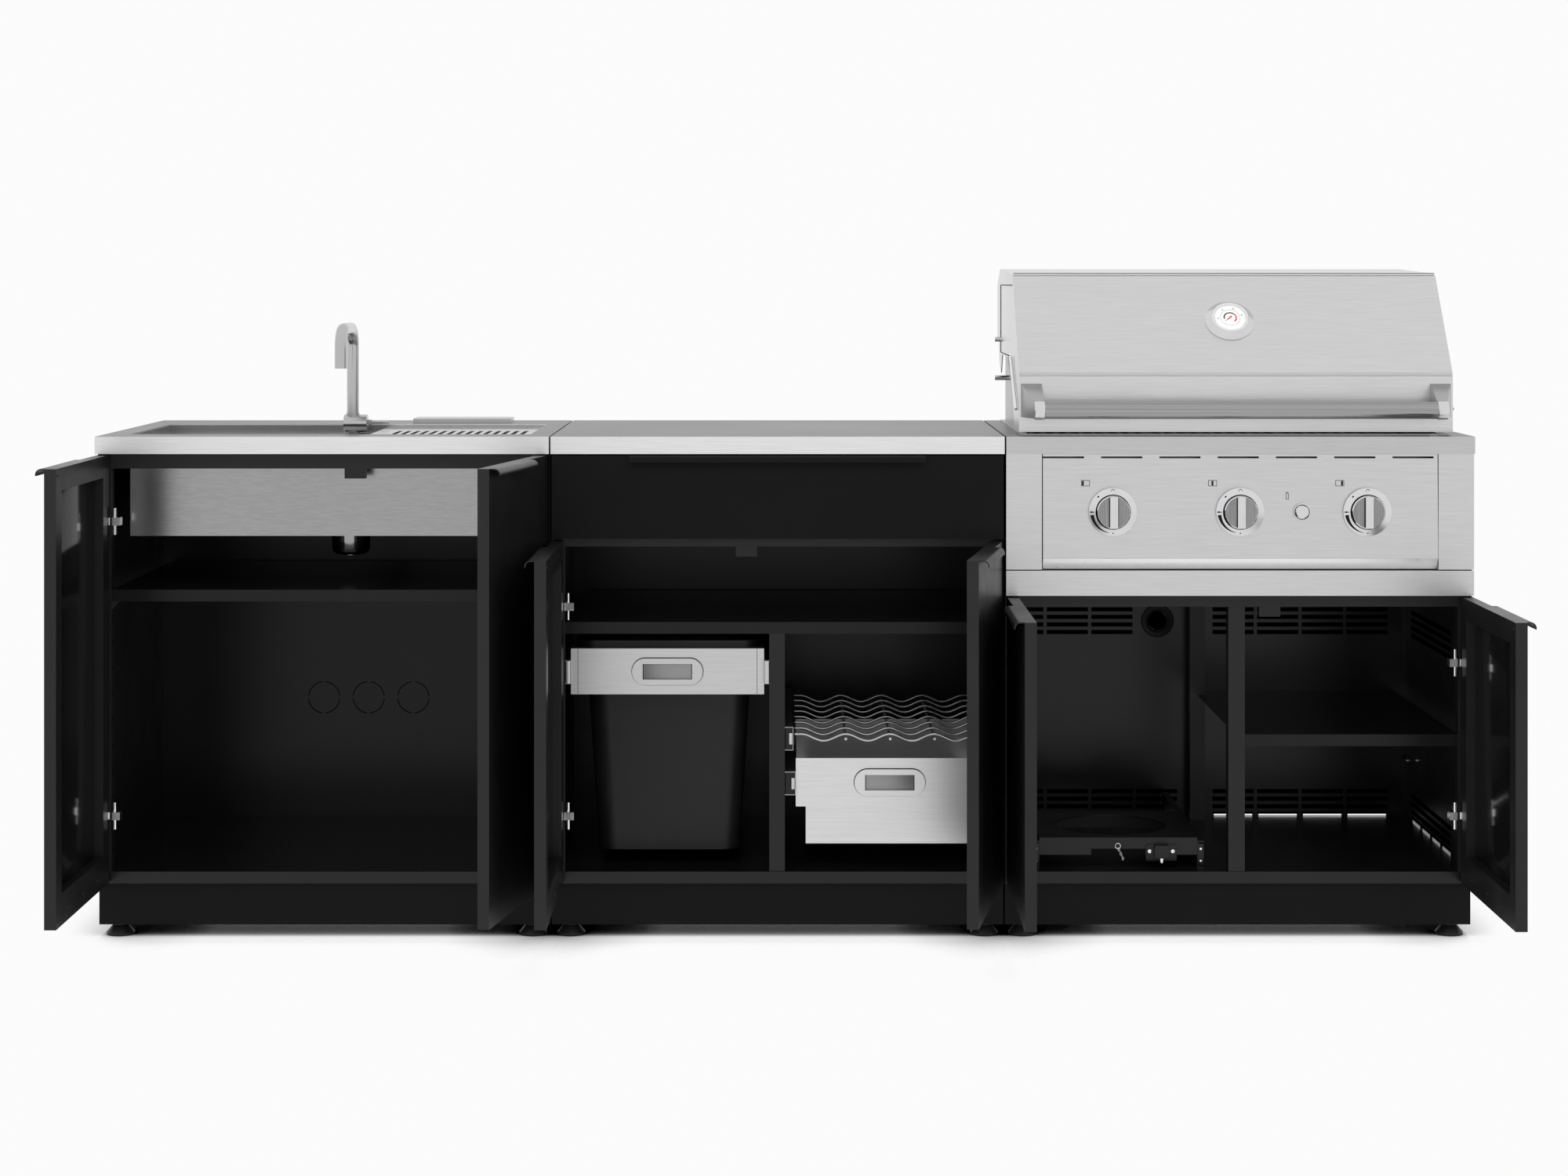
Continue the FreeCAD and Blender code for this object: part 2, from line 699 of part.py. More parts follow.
def side_panel(name, outer, way, vented):
    """A skin folded in at the front, the back and the bottom; way points into the cabinet."""
    owner = body(name)
    front, thick, wide = s.post_front, s.panel, way * s.post_width
    plan = [
        (0, front),
        (wide, front),
        (wide, front + s.post_depth),
        (wide - way * thick, front + s.post_depth),
        (wide - way * thick, front + thick),
        (way * thick, front + thick),
        (way * thick, CARCASS_BACK - thick),
        (way * s.rear_post_width, CARCASS_BACK - thick),
        (way * s.rear_post_width, CARCASS_BACK),
        (0, CARCASS_BACK),
    ]
    low = s.kick_bottom
    pad(owner, outline(sketch(owner, f"{name}_plan", "XY_Plane", low), plan), TOP_UNDER - low)
    recess = rectangle(
        sketch(owner, f"{name}_toe_recess", "XY_Plane", low),
        (-way, wide + way),
        (front - 1, s.kick_setback + thick),
    )
    pocket(owner, recess, s.floor_height - s.floor_lip - low, back=True)
    fold_end = rectangle(
        sketch(owner, f"{name}_fold_end", "XY_Plane", low),
        (way * thick, wide + way),
        (front - 1, front + s.post_depth + 1),
    )
    pocket(owner, fold_end, s.floor_height - low, back=True)
    sole = rectangle(
        sketch(owner, f"{name}_sole", "XY_Plane", low),
        (0, way * s.foot_flange),
        (s.kick_setback + thick, CARCASS_BACK),
    )
    pad(owner, sole, thick)
    put(owner, outer, FRONT)
    if not vented:
        return owner
    starts = [SIDE_VENT_FIRST + index * s.side_vent_pitch for index in range(4)]
    across = (outer - way, outer + way * thick + way)
    slots = vent_slots(
        name,
        starts,
        lambda label, start, span: block(label, across, depths(start, start + VENT_LENGTH), span),
    )
    return cut(f"{name}_vented", owner, slots)


def side_spacers(name, outer, way):
    """Round spacers on which the neighbouring cabinet is bolted up."""
    pieces = []
    for row, depth in enumerate((s.post_front + s.spacer_inset, CARCASS_BACK - s.spacer_inset)):
        for level, height in enumerate((s.floor_height + s.spacer_inset, TOP_UNDER - s.spacer_inset)):
            across = (outer - way * s.cabinet_gap, outer)
            label = f"{name}_spacer_{row}_{level}"
            pieces.append(rod(label, "x", across, deep(depth), height, s.spacer_radius))
    return pieces


def carcass_sides():
    for name, (left, right) in CABINETS.items():
        vented = name == "grill"
        pair = [
            side_panel(f"{name}_left_side", left, 1, vented),
            side_panel(f"{name}_right_side", right, -1, vented),
        ]
        if name == "centre":
            left_spacers = side_spacers("centre_left", left, 1)
            right_spacers = side_spacers("centre_right", right, -1)
            pair = [
                join("centre_left_spaced", [pair[0]] + left_spacers),
                join("centre_right_spaced", [pair[1]] + right_spacers),
            ]
        node(f"{name}_sides", group(f"{name}_side_pair", pair))


def back_sheet(name, left, right):
    depth = depths(CARCASS_BACK - 2 * s.panel, CARCASS_BACK - s.panel)
    return block(name, (left + s.panel, right - s.panel), depth, (s.floor_height, TOP_UNDER))


def backs():
    through = depths(CARCASS_BACK - 3 * s.panel, CARCASS_BACK)
    pressed = depths(CARCASS_BACK - 3 * s.panel, CARCASS_BACK - 1.75 * s.panel)
    discs = []
    for index in range(3):
        across = SINK_LEFT + s.knockout_across + index * s.knockout_pitch
        discs.append(rod(f"knockout_{index}", "y", across, pressed, s.knockout_height, s.knockout_radius))
    node("sink_back", cut("sink_back_sheet", back_sheet("sink_back_blank", SINK_LEFT, SINK_RIGHT), discs))
    node("centre_back", back_sheet("centre_back_sheet", CENTRE_LEFT, CENTRE_RIGHT))
    starts = [GRILL_LEFT + s.vent_first + index * VENT_PITCH for index in range(4)]
    starts += [GRILL_LEFT + VENT_SECOND + index * VENT_PITCH for index in range(4)]
    tools = vent_slots(
        "grill_back",
        starts,
        lambda label, start, span: block(label, (start, start + VENT_LENGTH), through, span),
        skipped=[(3, 0)],
    )
    tools.append(rod("gas_hole", "y", GRILL_LEFT + s.gas_hole_across, through, GAS_HOLE_HEIGHT, s.gas_hole))
    blank = back_sheet("grill_back_blank", GRILL_LEFT, GRILL_RIGHT)
    node("grill_back", cut("grill_back_sheet", blank, tools))


def floors_and_kicks():
    floors, kicks = [], []
    top, thick, front = s.floor_height, s.panel, s.post_front
    back = CARCASS_BACK - 2 * thick
    section = [
        (front, top - s.floor_lip),
        (front + thick, top - s.floor_lip),
        (front + thick, top - thick),
        (back, top - thick),
        (back, top),
        (front, top),
    ]
    for name, (left, right) in CABINETS.items():
        floors.append(folded(f"{name}_floor", (left + thick, right - thick), section))
        depth = depths(s.kick_setback, s.kick_setback + thick)
        kicks.append(block(f"{name}_kick", (left, right), depth, (s.kick_bottom, s.kick_top)))
    node("floor_panels", group("floors", floors))
    node("toe_kicks", group("kicks", kicks))


def foot(name, across, depth):
    turned = body(name)
    profile = outline(
        sketch(turned, f"{name}_profile", "XZ_Plane"),
        [
            (0, 0),
            (s.foot_radius, 0),
            (s.foot_radius, s.foot_rim),
            (s.foot_neck, s.kick_bottom - s.foot_rim),
            (s.foot_neck, s.kick_bottom),
            (0, s.kick_bottom),
        ],
    )
    revolve(turned, profile)
    return put(turned, across, deep(depth))


def feet():
    pieces = []
    for name, (left, right) in CABINETS.items():
        for side, across in (("left", left + s.foot_inset), ("right", right - s.foot_inset)):
            for row, depth in (("front", s.foot_front), ("back", FOOT_BACK)):
                pieces.append(foot(f"{name}_{side}_{row}_foot", across, depth))
    node("feet", group("all_feet", pieces))


def channel_rail(name, left, right, low, high):
    """A rail folded to an L between the front posts."""
    front, thick = s.post_front, s.panel
    section = [
        (front, low),
        (front + thick, low),
        (front + thick, high - thick),
        (front + s.rail_depth, high - thick),
        (front + s.rail_depth, high),
        (front, high),
    ]
    return folded(name, (left + s.post_width, right - s.post_width), section)


def rails():
    node("sink_rail", channel_rail("sink_top_rail", SINK_LEFT, SINK_RIGHT, SINK_RAIL_BOTTOM, TOP_UNDER))
    low, high = DRAWER_RAIL_BOTTOM, DRAWER_BOTTOM - s.panel
    node("centre_rail", channel_rail("drawer_rail", CENTRE_LEFT, CENTRE_RIGHT, low, high))
    low, high = GRILL_RAIL_BOTTOM, GRILL_DOOR_TOP
    node("grill_rail", channel_rail("grill_top_rail", GRILL_LEFT, GRILL_RIGHT, low, high))


def shelf(name, across, top, back):
    """A sheet with its front and back edges folded down."""
    front, thick, low = s.shelf_front, s.panel, top - s.shelf_lip
    section = [
        (front, low),
        (front + thick, low),
        (front + thick, top - thick),
        (back - thick, top - thick),
        (back - thick, low),
        (back, low),
        (back, top),
        (front, top),
    ]
    return folded(name, across, section)


def shelves():
    for name, top in (("sink", SINK_SHELF_TOP), ("centre", s.centre_shelf_top)):
        left, right = CABINETS[name]
        across = (left + s.post_width, right - s.post_width)
        panel = shelf(f"{name}_shelf_sheet", across, top, SHELF_BACK)
        node(f"{name}_shelf", panel)
    right_of_post = GRILL_LEFT + s.grill_post_across + s.grill_post_width
    across = (right_of_post, GRILL_RIGHT - s.post_width)
    back = CARCASS_BACK - 2 * s.panel - s.seat
    sheet_part = shelf("grill_shelf_sheet", across, s.grill_shelf_top, back)
    tongue = block(
        "grill_shelf_tongue",
        (right_of_post - s.grill_post_width / 2, right_of_post + s.panel),
        depths(s.post_front + s.panel + s.grill_post_width + s.seat, REAR_POST - s.seat),
        (s.grill_shelf_top - s.panel, s.grill_shelf_top),
    )
    node("grill_shelf", join("grill_shelf_whole", [sheet_part, tongue]))


def partitions():
    right = CENTRE_LEFT + DIVIDER_ACROSS
    across, depth = (right - s.divider_width, right), depths(s.shelf_front, SHELF_BACK - s.panel)
    divider = tube("divider_tube", across, depth, (s.floor_height, s.centre_shelf_top - s.panel))
    low = s.centre_shelf_top - s.shelf_lip
    step = rectangle(
        sketch(divider, "divider_step", "XY_Plane", low),
        shrunk(across, -s.panel),
        (depth[0] - 1, depth[0] + s.panel),
    )
    pocket(divider, step, s.shelf_lip, back=True)
    node("divider", divider)
    left = GRILL_LEFT + s.grill_post_across
    across = (left, left + s.grill_post_width)
    posts = [
        tube(f"post_{side}", across, depths(start, start + s.grill_post_width), (s.floor_height, high))
        for side, start, high in (
            ("front", s.post_front + s.panel, GRILL_DOOR_TOP - s.panel),
            ("back", REAR_POST, GRILL_RAIL_BOTTOM),
        )
    ]
    node("grill_posts", group("grill_post_pair", posts))


# Worktops


def worktop(name, left, right):
    """A sheet folded down on all four sides and turned back in underneath."""
    owner = body(name)
    across, depth = (0, right - left), (0, s.top_depth)
    pad(owner, rectangle(sketch(owner, f"{name}_plan", "XY_Plane"), across, depth), s.top_edge)
    hollow = rectangle(
        sketch(owner, f"{name}_hollow", "XY_Plane", s.steel),
        (s.steel, right - left - s.steel),
        (s.steel, s.top_depth - s.steel),
    )
    pocket(owner, hollow, s.top_edge - 2 * s.steel, back=True)
    mouth = rectangle(
        sketch(owner, f"{name}_mouth", "XY_Plane"),
        (s.top_return, right - left - s.top_return),
        (s.top_return, s.top_depth - s.top_return),
    )
    pocket(owner, mouth, s.steel + 1, back=True)
    return put(owner, left, FRONT, TOP_UNDER)


def worktops():
    above = (s.top_height - 2 * s.steel, s.top_height + s.steel)
    sink = worktop("sink_worktop", SINK_LEFT, SINK_RIGHT)
    opening = block(
        "sink_opening",
        (SINK_LEFT + s.basin_left, SINK_LEFT + s.basin_left + BASIN_WIDTH),
        depths(s.basin_front, s.basin_front + s.basin_depth),
        above,
    )
    node("sink_top", cut("sink_worktop_cut", sink, [opening]))
    node("centre_top", worktop("centre_worktop", CENTRE_LEFT, CENTRE_RIGHT))
    grill = worktop("grill_worktop", GRILL_LEFT, GRILL_RIGHT)
    opening = block(
        "grill_opening",
        (FIREBOX_LEFT - s.seat, FIREBOX_RIGHT + s.seat),
        depths(s.firebox_front - s.seat, FIREBOX_BACK + s.seat),
        (TOP_UNDER - s.steel, s.top_height + s.steel),
    )
    node("grill_top", cut("grill_worktop_cut", grill, [opening]))


# Doors, drawer fronts and their hinges


def lip_handle(owner, name, start, length, face, top):
    """A sheet that runs out over the top edge and curls down, with the pull behind it."""
    drawing = sketch(owner, name, "YZ_Plane", start)
    out = face - s.handle_reach
    outline(
        drawing,
        [
            (face, top),
            (out, top),
            (out, top - s.handle_curl),
            (out + s.handle_sheet, top - s.handle_curl),
            (out + s.handle_sheet, top - s.handle_sheet),
            (face, top - s.handle_sheet),
        ],
    )
    lip = pad(owner, drawing, length)
    corner, inside = out.number, (out + s.handle_sheet).number
    outer = round_edges(
        owner,
        lip,
        s.handle_curl - s.handle_sheet,
        lambda middle, way: abs(way.x) > 0.99 and near(middle.y, corner) and near(middle.z, top),
    )
    return round_edges(
        owner,
        outer,
        s.handle_curl - 2 * s.handle_sheet,
        lambda middle, way: abs(way.x) > 0.99
        and near(middle.y, inside)
        and near(middle.z, top - s.handle_sheet),
    )


def frame_void(name, hinge_edge, free_edge, way, height, notches):
    """The hollow inside the folded edges of a leaf, clear of its inner panel and its notches."""
    half, skin = s.door_thickness / 2, s.door_skin
    void = block(
        f"{name}_void",
        (hinge_edge + way * skin, free_edge - way * skin),
        (-half + skin, half - skin),
        (skin, height - s.handle_sheet - skin),
    )
    across = (
        hinge_edge + way * (s.door_hinge_frame - skin),
        free_edge - way * (s.door_free_frame - skin),
    )
    keepers = [
        block(
            f"{name}_core",
            across,
            (-half, half),
            (s.door_bottom_frame - skin, height - s.door_top_frame + skin),
        )
    ]
    for index, span in enumerate(notches):
        end = way * (s.eye_radius + 1 + skin)
        keepers.append(block(f"{name}_keeper_{index}", (hinge_edge, end), (-half, half), shrunk(span, -skin)))
    return cut(f"{name}_ring", void, [join(f"{name}_keepers", keepers)])


def door(name, cabinet, side, top, angle):
    """A leaf of folded sheet about its pivot: closed it lies along X, and it rests open by angle."""
    left, right = CABINETS[cabinet]
    way = 1 if side == "left" else -1
    edge = left + s.door_side_gap if side == "left" else right - s.door_side_gap
    width = (right - left - 2 * s.door_side_gap - s.door_meeting_gap) / 2
    height = top - s.door_bottom
    half = s.door_thickness / 2
    hinge_edge, free_edge = -way * s.pivot_inset, way * (width - s.pivot_inset)
    leaf = body(f"{name}_leaf")
    plan = rectangle(sketch(leaf, f"{name}_plan", "XY_Plane"), (hinge_edge, free_edge), (-half, half))
    sheet_edge = pad(leaf, plan, height)
    round_edges(
        leaf, sheet_edge, s.door_bend, lambda middle, run: abs(run.z) > 0.99 and near(middle.x, hinge_edge)
    )
    recess = rectangle(
        sketch(leaf, f"{name}_recess", "XZ_Plane", -half),
        (hinge_edge + way * s.door_hinge_frame, free_edge - way * s.door_free_frame),
        (s.door_bottom_frame, height - s.door_top_frame),
    )
    pocket(leaf, recess, s.door_recess, back=True)
    grip_end = free_edge - way * s.handle_inset
    start = grip_end - s.handle_length if side == "left" else grip_end
    lip_handle(leaf, f"{name}_lip", start, s.handle_length, -half, height)
    notches, pins, spans = [], [], []
    heights = (s.hinge_from_bottom - s.door_bottom + s.floor_height, height - s.hinge_from_top)
    for index, middle in enumerate(heights):
        span = (middle - s.notch_height / 2, middle + s.notch_height / 2)
        across, depth = (hinge_edge - way, way * (s.eye_radius + 1)), (-half + s.panel, half + 1)
        notches.append(block(f"{name}_notch_{index}", across, depth, span))
        pins.append(rod(f"{name}_pin_{index}", "z", 0, 0, span, s.pivot_pin))
        spans.append(span)
    void = frame_void(name, hinge_edge, free_edge, way, height, spans)
    whole = join(f"{name}_door", [cut(f"{name}_hollow", leaf, [void] + notches)] + pins)
    whole.Placement = Placement(Vector(), Rotation(Vector(0, 0, 1), -way * size(angle).number))
    bind(whole, "Placement.Rotation.Angle", angle)
    whole.Placement.Rotation.Axis = Vector(0, 0, -way)
    node(name, put(whole, edge + way * s.pivot_inset, deep(pivot_depth), s.door_bottom))
    return [
        hinge(f"{name}_hinge_{index}", edge, way, s.door_bottom + middle)
        for index, middle in enumerate(heights)
    ]


def hinge(name, edge, way, height):
    """The fixed half: an eye round the door's pin, carried by a block with its stud beside the post."""
    pivot = edge + way * s.pivot_inset
    post_edge = edge - way * s.door_side_gap + way * s.post_width
    span = (height - s.eye_height / 2, height + s.eye_height / 2)
    eye = rod(f"{name}_eye", "z", pivot, deep(pivot_depth), span, s.eye_radius)
    inner = pivot - way * s.eye_radius / 2
    arm = block(f"{name}_arm", (inner, inner + way * s.eye_radius), depths(pivot_depth, s.post_front), span)
    end, face = post_edge + way * s.hinge_block, s.post_front - s.hinge_bridge
    bridge = block(f"{name}_bridge", (inner, end), depths(face, s.post_front), span)
    case = block(f"{name}_case", (post_edge, end), depths(face, s.post_front + s.hinge_block_depth), span)
    stud = rod(
        f"{name}_stud",
        "z",
        post_edge + way * s.stud_inset,
        deep(s.post_front + s.stud_radius),
        (height - s.stud_length / 2, height + s.stud_length / 2),
        s.stud_radius,
    )
    through = (span[0] - 1, span[1] + 1)
    bore = rod(f"{name}_bore", "z", pivot, deep(pivot_depth), through, s.pivot_pin + s.pivot_fit)
    return cut(f"{name}_bored", join(f"{name}_solid", [eye, arm, bridge, case, stud]), [bore])


def doors():
    leaves = (
        ("sink_left_door", "sink", "left", DOOR_TOP, s.open_angle),
        ("sink_right_door", "sink", "right", DOOR_TOP, s.resting_angle),
        ("centre_left_door", "centre", "left", CENTRE_DOOR_TOP, s.open_angle),
        ("centre_right_door", "centre", "right", CENTRE_DOOR_TOP, s.resting_angle),
        ("grill_left_door", "grill", "left", GRILL_DOOR_TOP, s.open_angle),
        ("grill_right_door", "grill", "right", GRILL_DOOR_TOP, s.open_angle),
    )
    hinges = []
    for leaf in leaves:
        hinges += door(*leaf)
    node("hinges", group("all_hinges", hinges))


def catches():
    pieces = []
    rows = (
        ("sink", SINK_RAIL_BOTTOM, 1),
        ("centre", DRAWER_RAIL_BOTTOM, -1),
        ("grill", GRILL_RAIL_BOTTOM, 1),
    )
    for name, under, way in rows:
        left, right = CABINETS[name]
        middle = (left + right) / 2 + way * s.catch_offset
        pieces.append(
            block(
                f"{name}_catch",
                (middle - s.catch_width / 2, middle + s.catch_width / 2),
                depths(s.post_front, s.post_front + s.catch_depth),
                (under - s.catch_height, under),
            )
        )
    node("door_catches", group("catch_set", pieces))


# Sink and faucet


def wall_and_flange(name, across, wall, rim, foot):
    """A wall of the basin that runs across it, with its flange under the worktop sheet."""
    inner, outer = wall
    under = UNDER_SHEET - s.steel
    flange = [(outer, under), (rim, under), (rim, UNDER_SHEET), (inner, UNDER_SHEET)]
    return folded(name, across, [(outer, foot)] + flange + [(inner, foot)])


def basin_side(name, start, flange):
    """An end wall of the basin, stepped at the ledge behind the bowl, with its flange."""
    front, back = s.basin_front, s.basin_front + s.basin_depth
    bowl_back = front + s.bowl_depth
    under = s.top_height - s.bowl_height - s.steel
    step = LEDGE - s.steel
    owner = body(f"{name}_wall")
    section = outline(
        sketch(owner, f"{name}_section", "YZ_Plane"),
        [
            (front, under),
            (front, UNDER_SHEET),
            (back, UNDER_SHEET),
            (back, step),
            (bowl_back, step),
            (bowl_back, under),
        ],
    )
    pad(owner, section, s.steel)
    lip = block(
        f"{name}_flange",
        flange,
        depths(front - s.deck_height, back + s.deck_height),
        (UNDER_SHEET - s.steel, UNDER_SHEET),
    )
    return join(name, [put(owner, start, FRONT), lip])


def sink():
    """A basin welded from sheet: a deep bowl and a ledge behind it for the tray and the faucet."""
    thick, rim = s.steel, s.deck_height
    front, back = s.basin_front, s.basin_front + s.basin_depth
    bowl_back = front + s.bowl_depth
    floor = s.top_height - s.bowl_height
    inside = (BASIN_LEFT + thick, BASIN_RIGHT - thick)
    hole = rod(
        "drain_hole_tool",
        "z",
        SINK_LEFT + DRAIN_ACROSS,
        deep(s.drain_deep),
        (floor - 2 * thick, floor + thick),
        s.drain_hole,
    )
    sheet_under = block("bowl_sheet", inside, depths(front, bowl_back), (floor - thick, floor))
    pieces = [
        wall_and_flange("basin_front", inside, (front + thick, front), front - rim, floor),
        wall_and_flange("basin_back", inside, (back - thick, back), back + rim, LEDGE),
        basin_side("basin_left", BASIN_LEFT, (BASIN_LEFT - rim, BASIN_LEFT)),
        basin_side("basin_right", BASIN_RIGHT - thick, (BASIN_RIGHT, BASIN_RIGHT + rim)),
        block("bowl_back", inside, depths(bowl_back - thick, bowl_back), (floor, LEDGE - thick)),
        cut("bowl_floor", sheet_under, [hole]),
        block("basin_ledge", inside, depths(bowl_back - thick, back), (LEDGE - thick, LEDGE)),
        block(
            "tray_support",
            (SINK_LEFT + TRAY_LEFT, BASIN_RIGHT - thick),
            depths(front + thick, front + thick + rim),
            (LEDGE - thick, LEDGE),
        ),
    ]
    node("basin", group("basin_sheets", pieces))
    drain()
    drain_tray()
    deck = body("deck_plate")
    plan = rectangle(sketch(deck, "deck_plan", "XY_Plane"), (0, s.deck_width), (0, s.deck_depth))
    plate = pad(deck, plan, s.deck_height)
    round_edges(deck, plate, s.panel, lambda middle, way: near(middle.z, s.deck_height))
    node("deck_cover", put(deck, SINK_LEFT + DECK_LEFT, deep(DECK_FRONT), s.top_height))


def drain():
    turned = body("drain_turned")
    inner = s.drain_hole - 2 * s.steel
    profile = outline(
        sketch(turned, "drain_profile", "XZ_Plane"),
        [
            (0, -s.drain_length),
            (s.drain_tail, -s.drain_length),
            (s.drain_tail, -s.drain_length / 2),
            (s.drain_nut, -s.drain_length / 2),
            (s.drain_nut, -s.drain_length / 4),
            (s.drain_hole - s.seat, -s.drain_length / 4),
            (s.drain_hole - s.seat, 0),
            (s.drain_flange, 0),
            (s.drain_flange, s.steel),
            (inner, s.steel),
            (inner - s.steel, -s.drain_length / 8),
            (0, -s.drain_length / 8),
        ],
    )
    revolve(turned, profile)
    node("drain", put(turned, SINK_LEFT + DRAIN_ACROSS, deep(s.drain_deep), s.top_height - s.bowl_height))


def drain_tray():
    """A slotted lift-out tray with turned-down edges that stands on the ledge."""
    owner = body("tray_body")
    width = BASIN_RIGHT - s.steel - s.seat - (SINK_LEFT + TRAY_LEFT)
    depth = s.basin_depth - 2 * s.steel - 2 * s.seat
    height = s.ledge_drop - s.tray_drop
    pad(owner, rectangle(sketch(owner, "tray_plan", "XY_Plane"), (0, width), (0, depth)), height)
    inside = sketch(owner, "tray_hollow", "XY_Plane")
    rectangle(inside, (s.steel, width - s.steel), (s.steel, depth - s.steel))
    pocket(owner, inside, height - s.steel, back=True)
    slot = rectangle(
        sketch(owner, "tray_slot", "XY_Plane"),
        (s.slot_left, s.slot_left + s.slot_width),
        (s.slot_front, s.slot_front + s.slot_length),
    )
    first = pocket(owner, slot, height + 1, back=True)
    pattern = owner.newObject("PartDesign::LinearPattern", "tray_slots")
    pattern.Originals = [first]
    pattern.Direction = (slot, ["H_Axis"])
    pattern.Occurrences = int(s.slot_count.number)
    bind(pattern, "Length", s.slot_pitch * (s.slot_count - 1))
    owner.Tip = pattern
    node("drain_tray", put(owner, SINK_LEFT + TRAY_LEFT, deep(s.basin_front + s.steel + s.seat), LEDGE))


def faucet():
    across, depth = SINK_LEFT + FAUCET_ACROSS, deep(FAUCET_DEEP)
    column = rod("faucet_column", "z", across, depth, (LEDGE, FAUCET_BODY_TOP), s.faucet_body_radius)
    rose_radius = s.faucet_body_radius + s.deck_height
    rose = rod("faucet_rose", "z", across, depth, (LEDGE, LEDGE + s.rack_rod), rose_radius)
    barrel = (across - s.valve_start, across + s.valve_reach)
    valve = rod("faucet_valve", "x", barrel, depth, VALVE_HEIGHT, s.valve_radius)
    pivot = across + s.valve_reach + s.lever_hub + s.seat
    half = s.lever_radius
    hub = rod("lever_hub", "y", pivot, (depth - half, depth + half), LEVER_HEIGHT, s.lever_hub)
    tip = pivot + s.lever_hub + s.lever_length
    stick = rod("lever_stick", "x", (pivot, tip), depth, LEVER_HEIGHT, half - s.seat)
    eye_radius = s.steel + s.pivot_fit
    eye = rod("lever_eye", "y", pivot, (depth - 2 * half, depth + 2 * half), LEVER_HEIGHT, eye_radius)
    node("faucet_lever", cut("lever_bored", join("lever_whole", [hub, stick]), [eye]))
    cheeks = []
    for index, way in enumerate((-1, 1)):
        start = depth + way * (half + s.seat)
        cheeks.append(
            block(
                f"valve_cheek_{index}",
                (across + s.valve_reach - s.steel, pivot + half),
                (start, start + way * s.panel),
                (LEVER_HEIGHT - half, LEVER_HEIGHT + half),
            )
        )
    reach = half + s.seat + s.steel
    pin = rod("lever_pin", "y", pivot, (depth - reach, depth + reach), LEVER_HEIGHT, s.steel)
    node("faucet_body", join("faucet_casting", [column, rose, valve, pin] + cheeks))
    spout(across, depth)


def spout(across, depth):
    """A pipe bent twice that swivels on top of the faucet."""
    owner = body("spout_body")
    start, top, end = FAUCET_BODY_TOP + s.seat, SPOUT_TOP, SPOUT_END
    route = sketch(owner, "spout_route", "YZ_Plane")
    bend, reach = s.spout_bend, -s.spout_reach
    high = top - bend
    upright = Vector(0, high.number), Vector(-bend.number, top.number)
    drop = Vector((reach + bend).number, top.number), Vector(reach.number, high.number)
    route.addGeometry(Part.LineSegment(Vector(0, start.number), upright[0]))
    rear = Part.Circle(Vector(-bend.number, high.number), Vector(0, 0, 1), bend.number)
    route.addGeometry(Part.ArcOfCircle(rear, 0, math.pi / 2))
    route.addGeometry(Part.LineSegment(upright[1], drop[0]))
    fore = Part.Circle(Vector((reach + bend).number, high.number), Vector(0, 0, 1), bend.number)
    route.addGeometry(Part.ArcOfCircle(fore, math.pi / 2, math.pi))
    route.addGeometry(Part.LineSegment(drop[1], Vector(reach.number, end.number)))
    for first, first_end, second, second_end in ((0, 2, 1, 1), (1, 2, 2, 1), (2, 2, 3, 1), (3, 2, 4, 1)):
        route.addConstraint(Sketcher.Constraint("Coincident", first, first_end, second, second_end))
    hold(route, 0, 1, (0, start))
    hold(route, 0, 2, (0, high))
    hold(route, 1, 3, (-bend, high))
    hold(route, 2, 1, (-bend, None))
    hold(route, 2, 2, (reach + bend, top))
    hold(route, 3, 3, (reach + bend, high))
    hold(route, 4, 1, (None, high))
    hold(route, 4, 2, (reach, end))
    ring = circle(sketch(owner, "spout_ring", "XY_Plane", start), (0, 0), s.spout_radius)
    pipe = owner.newObject("PartDesign::AdditivePipe", "spout_pipe")
    pipe.Profile = ring
    pipe.Spine = (route, [])
    collar = circle(sketch(owner, "spout_foot", "XY_Plane", start), (0, 0), s.faucet_body_radius)
    pad(owner, collar, s.spout_collar)
    node("faucet_spout", put(owner, across, depth))


# Drawer cabinet


def top_drawer():
    left, right = CENTRE_LEFT + s.door_side_gap, CENTRE_RIGHT - s.door_side_gap
    front = body("drawer_face")
    half = s.door_thickness / 2
    width = right - left
    plan = rectangle(sketch(front, "drawer_plan", "XY_Plane"), (0, width), (-half, half))
    height = DOOR_TOP - DRAWER_BOTTOM
    pad(front, plan, height)
    lip_handle(front, "drawer_lip", (width - s.drawer_handle) / 2, s.drawer_handle, -half, height)
    put(front, left, deep(pivot_depth), DRAWER_BOTTOM)
    void = block(
        "drawer_face_void",
        (left + s.door_skin, right - s.door_skin),
        depths(s.door_front + s.door_skin, s.door_front + s.door_thickness - s.door_skin),
        (DRAWER_BOTTOM + s.door_skin, DOOR_TOP - s.handle_sheet - s.door_skin),
    )
    box_left = CENTRE_LEFT + s.post_width + s.slide_thickness + s.seat
    box_right = CENTRE_RIGHT - s.post_width - s.slide_thickness - s.seat
    box = pan(
        "drawer_box",
        (box_left, box_right),
        depths(s.door_front + s.door_thickness, DRAWER_BOX_BACK),
        (DRAWER_BOX_BOTTOM, DRAWER_BOX_TOP),
        s.steel,
    )
    node("top_drawer", join("drawer_whole", [cut("drawer_front", front, [void]), box]))


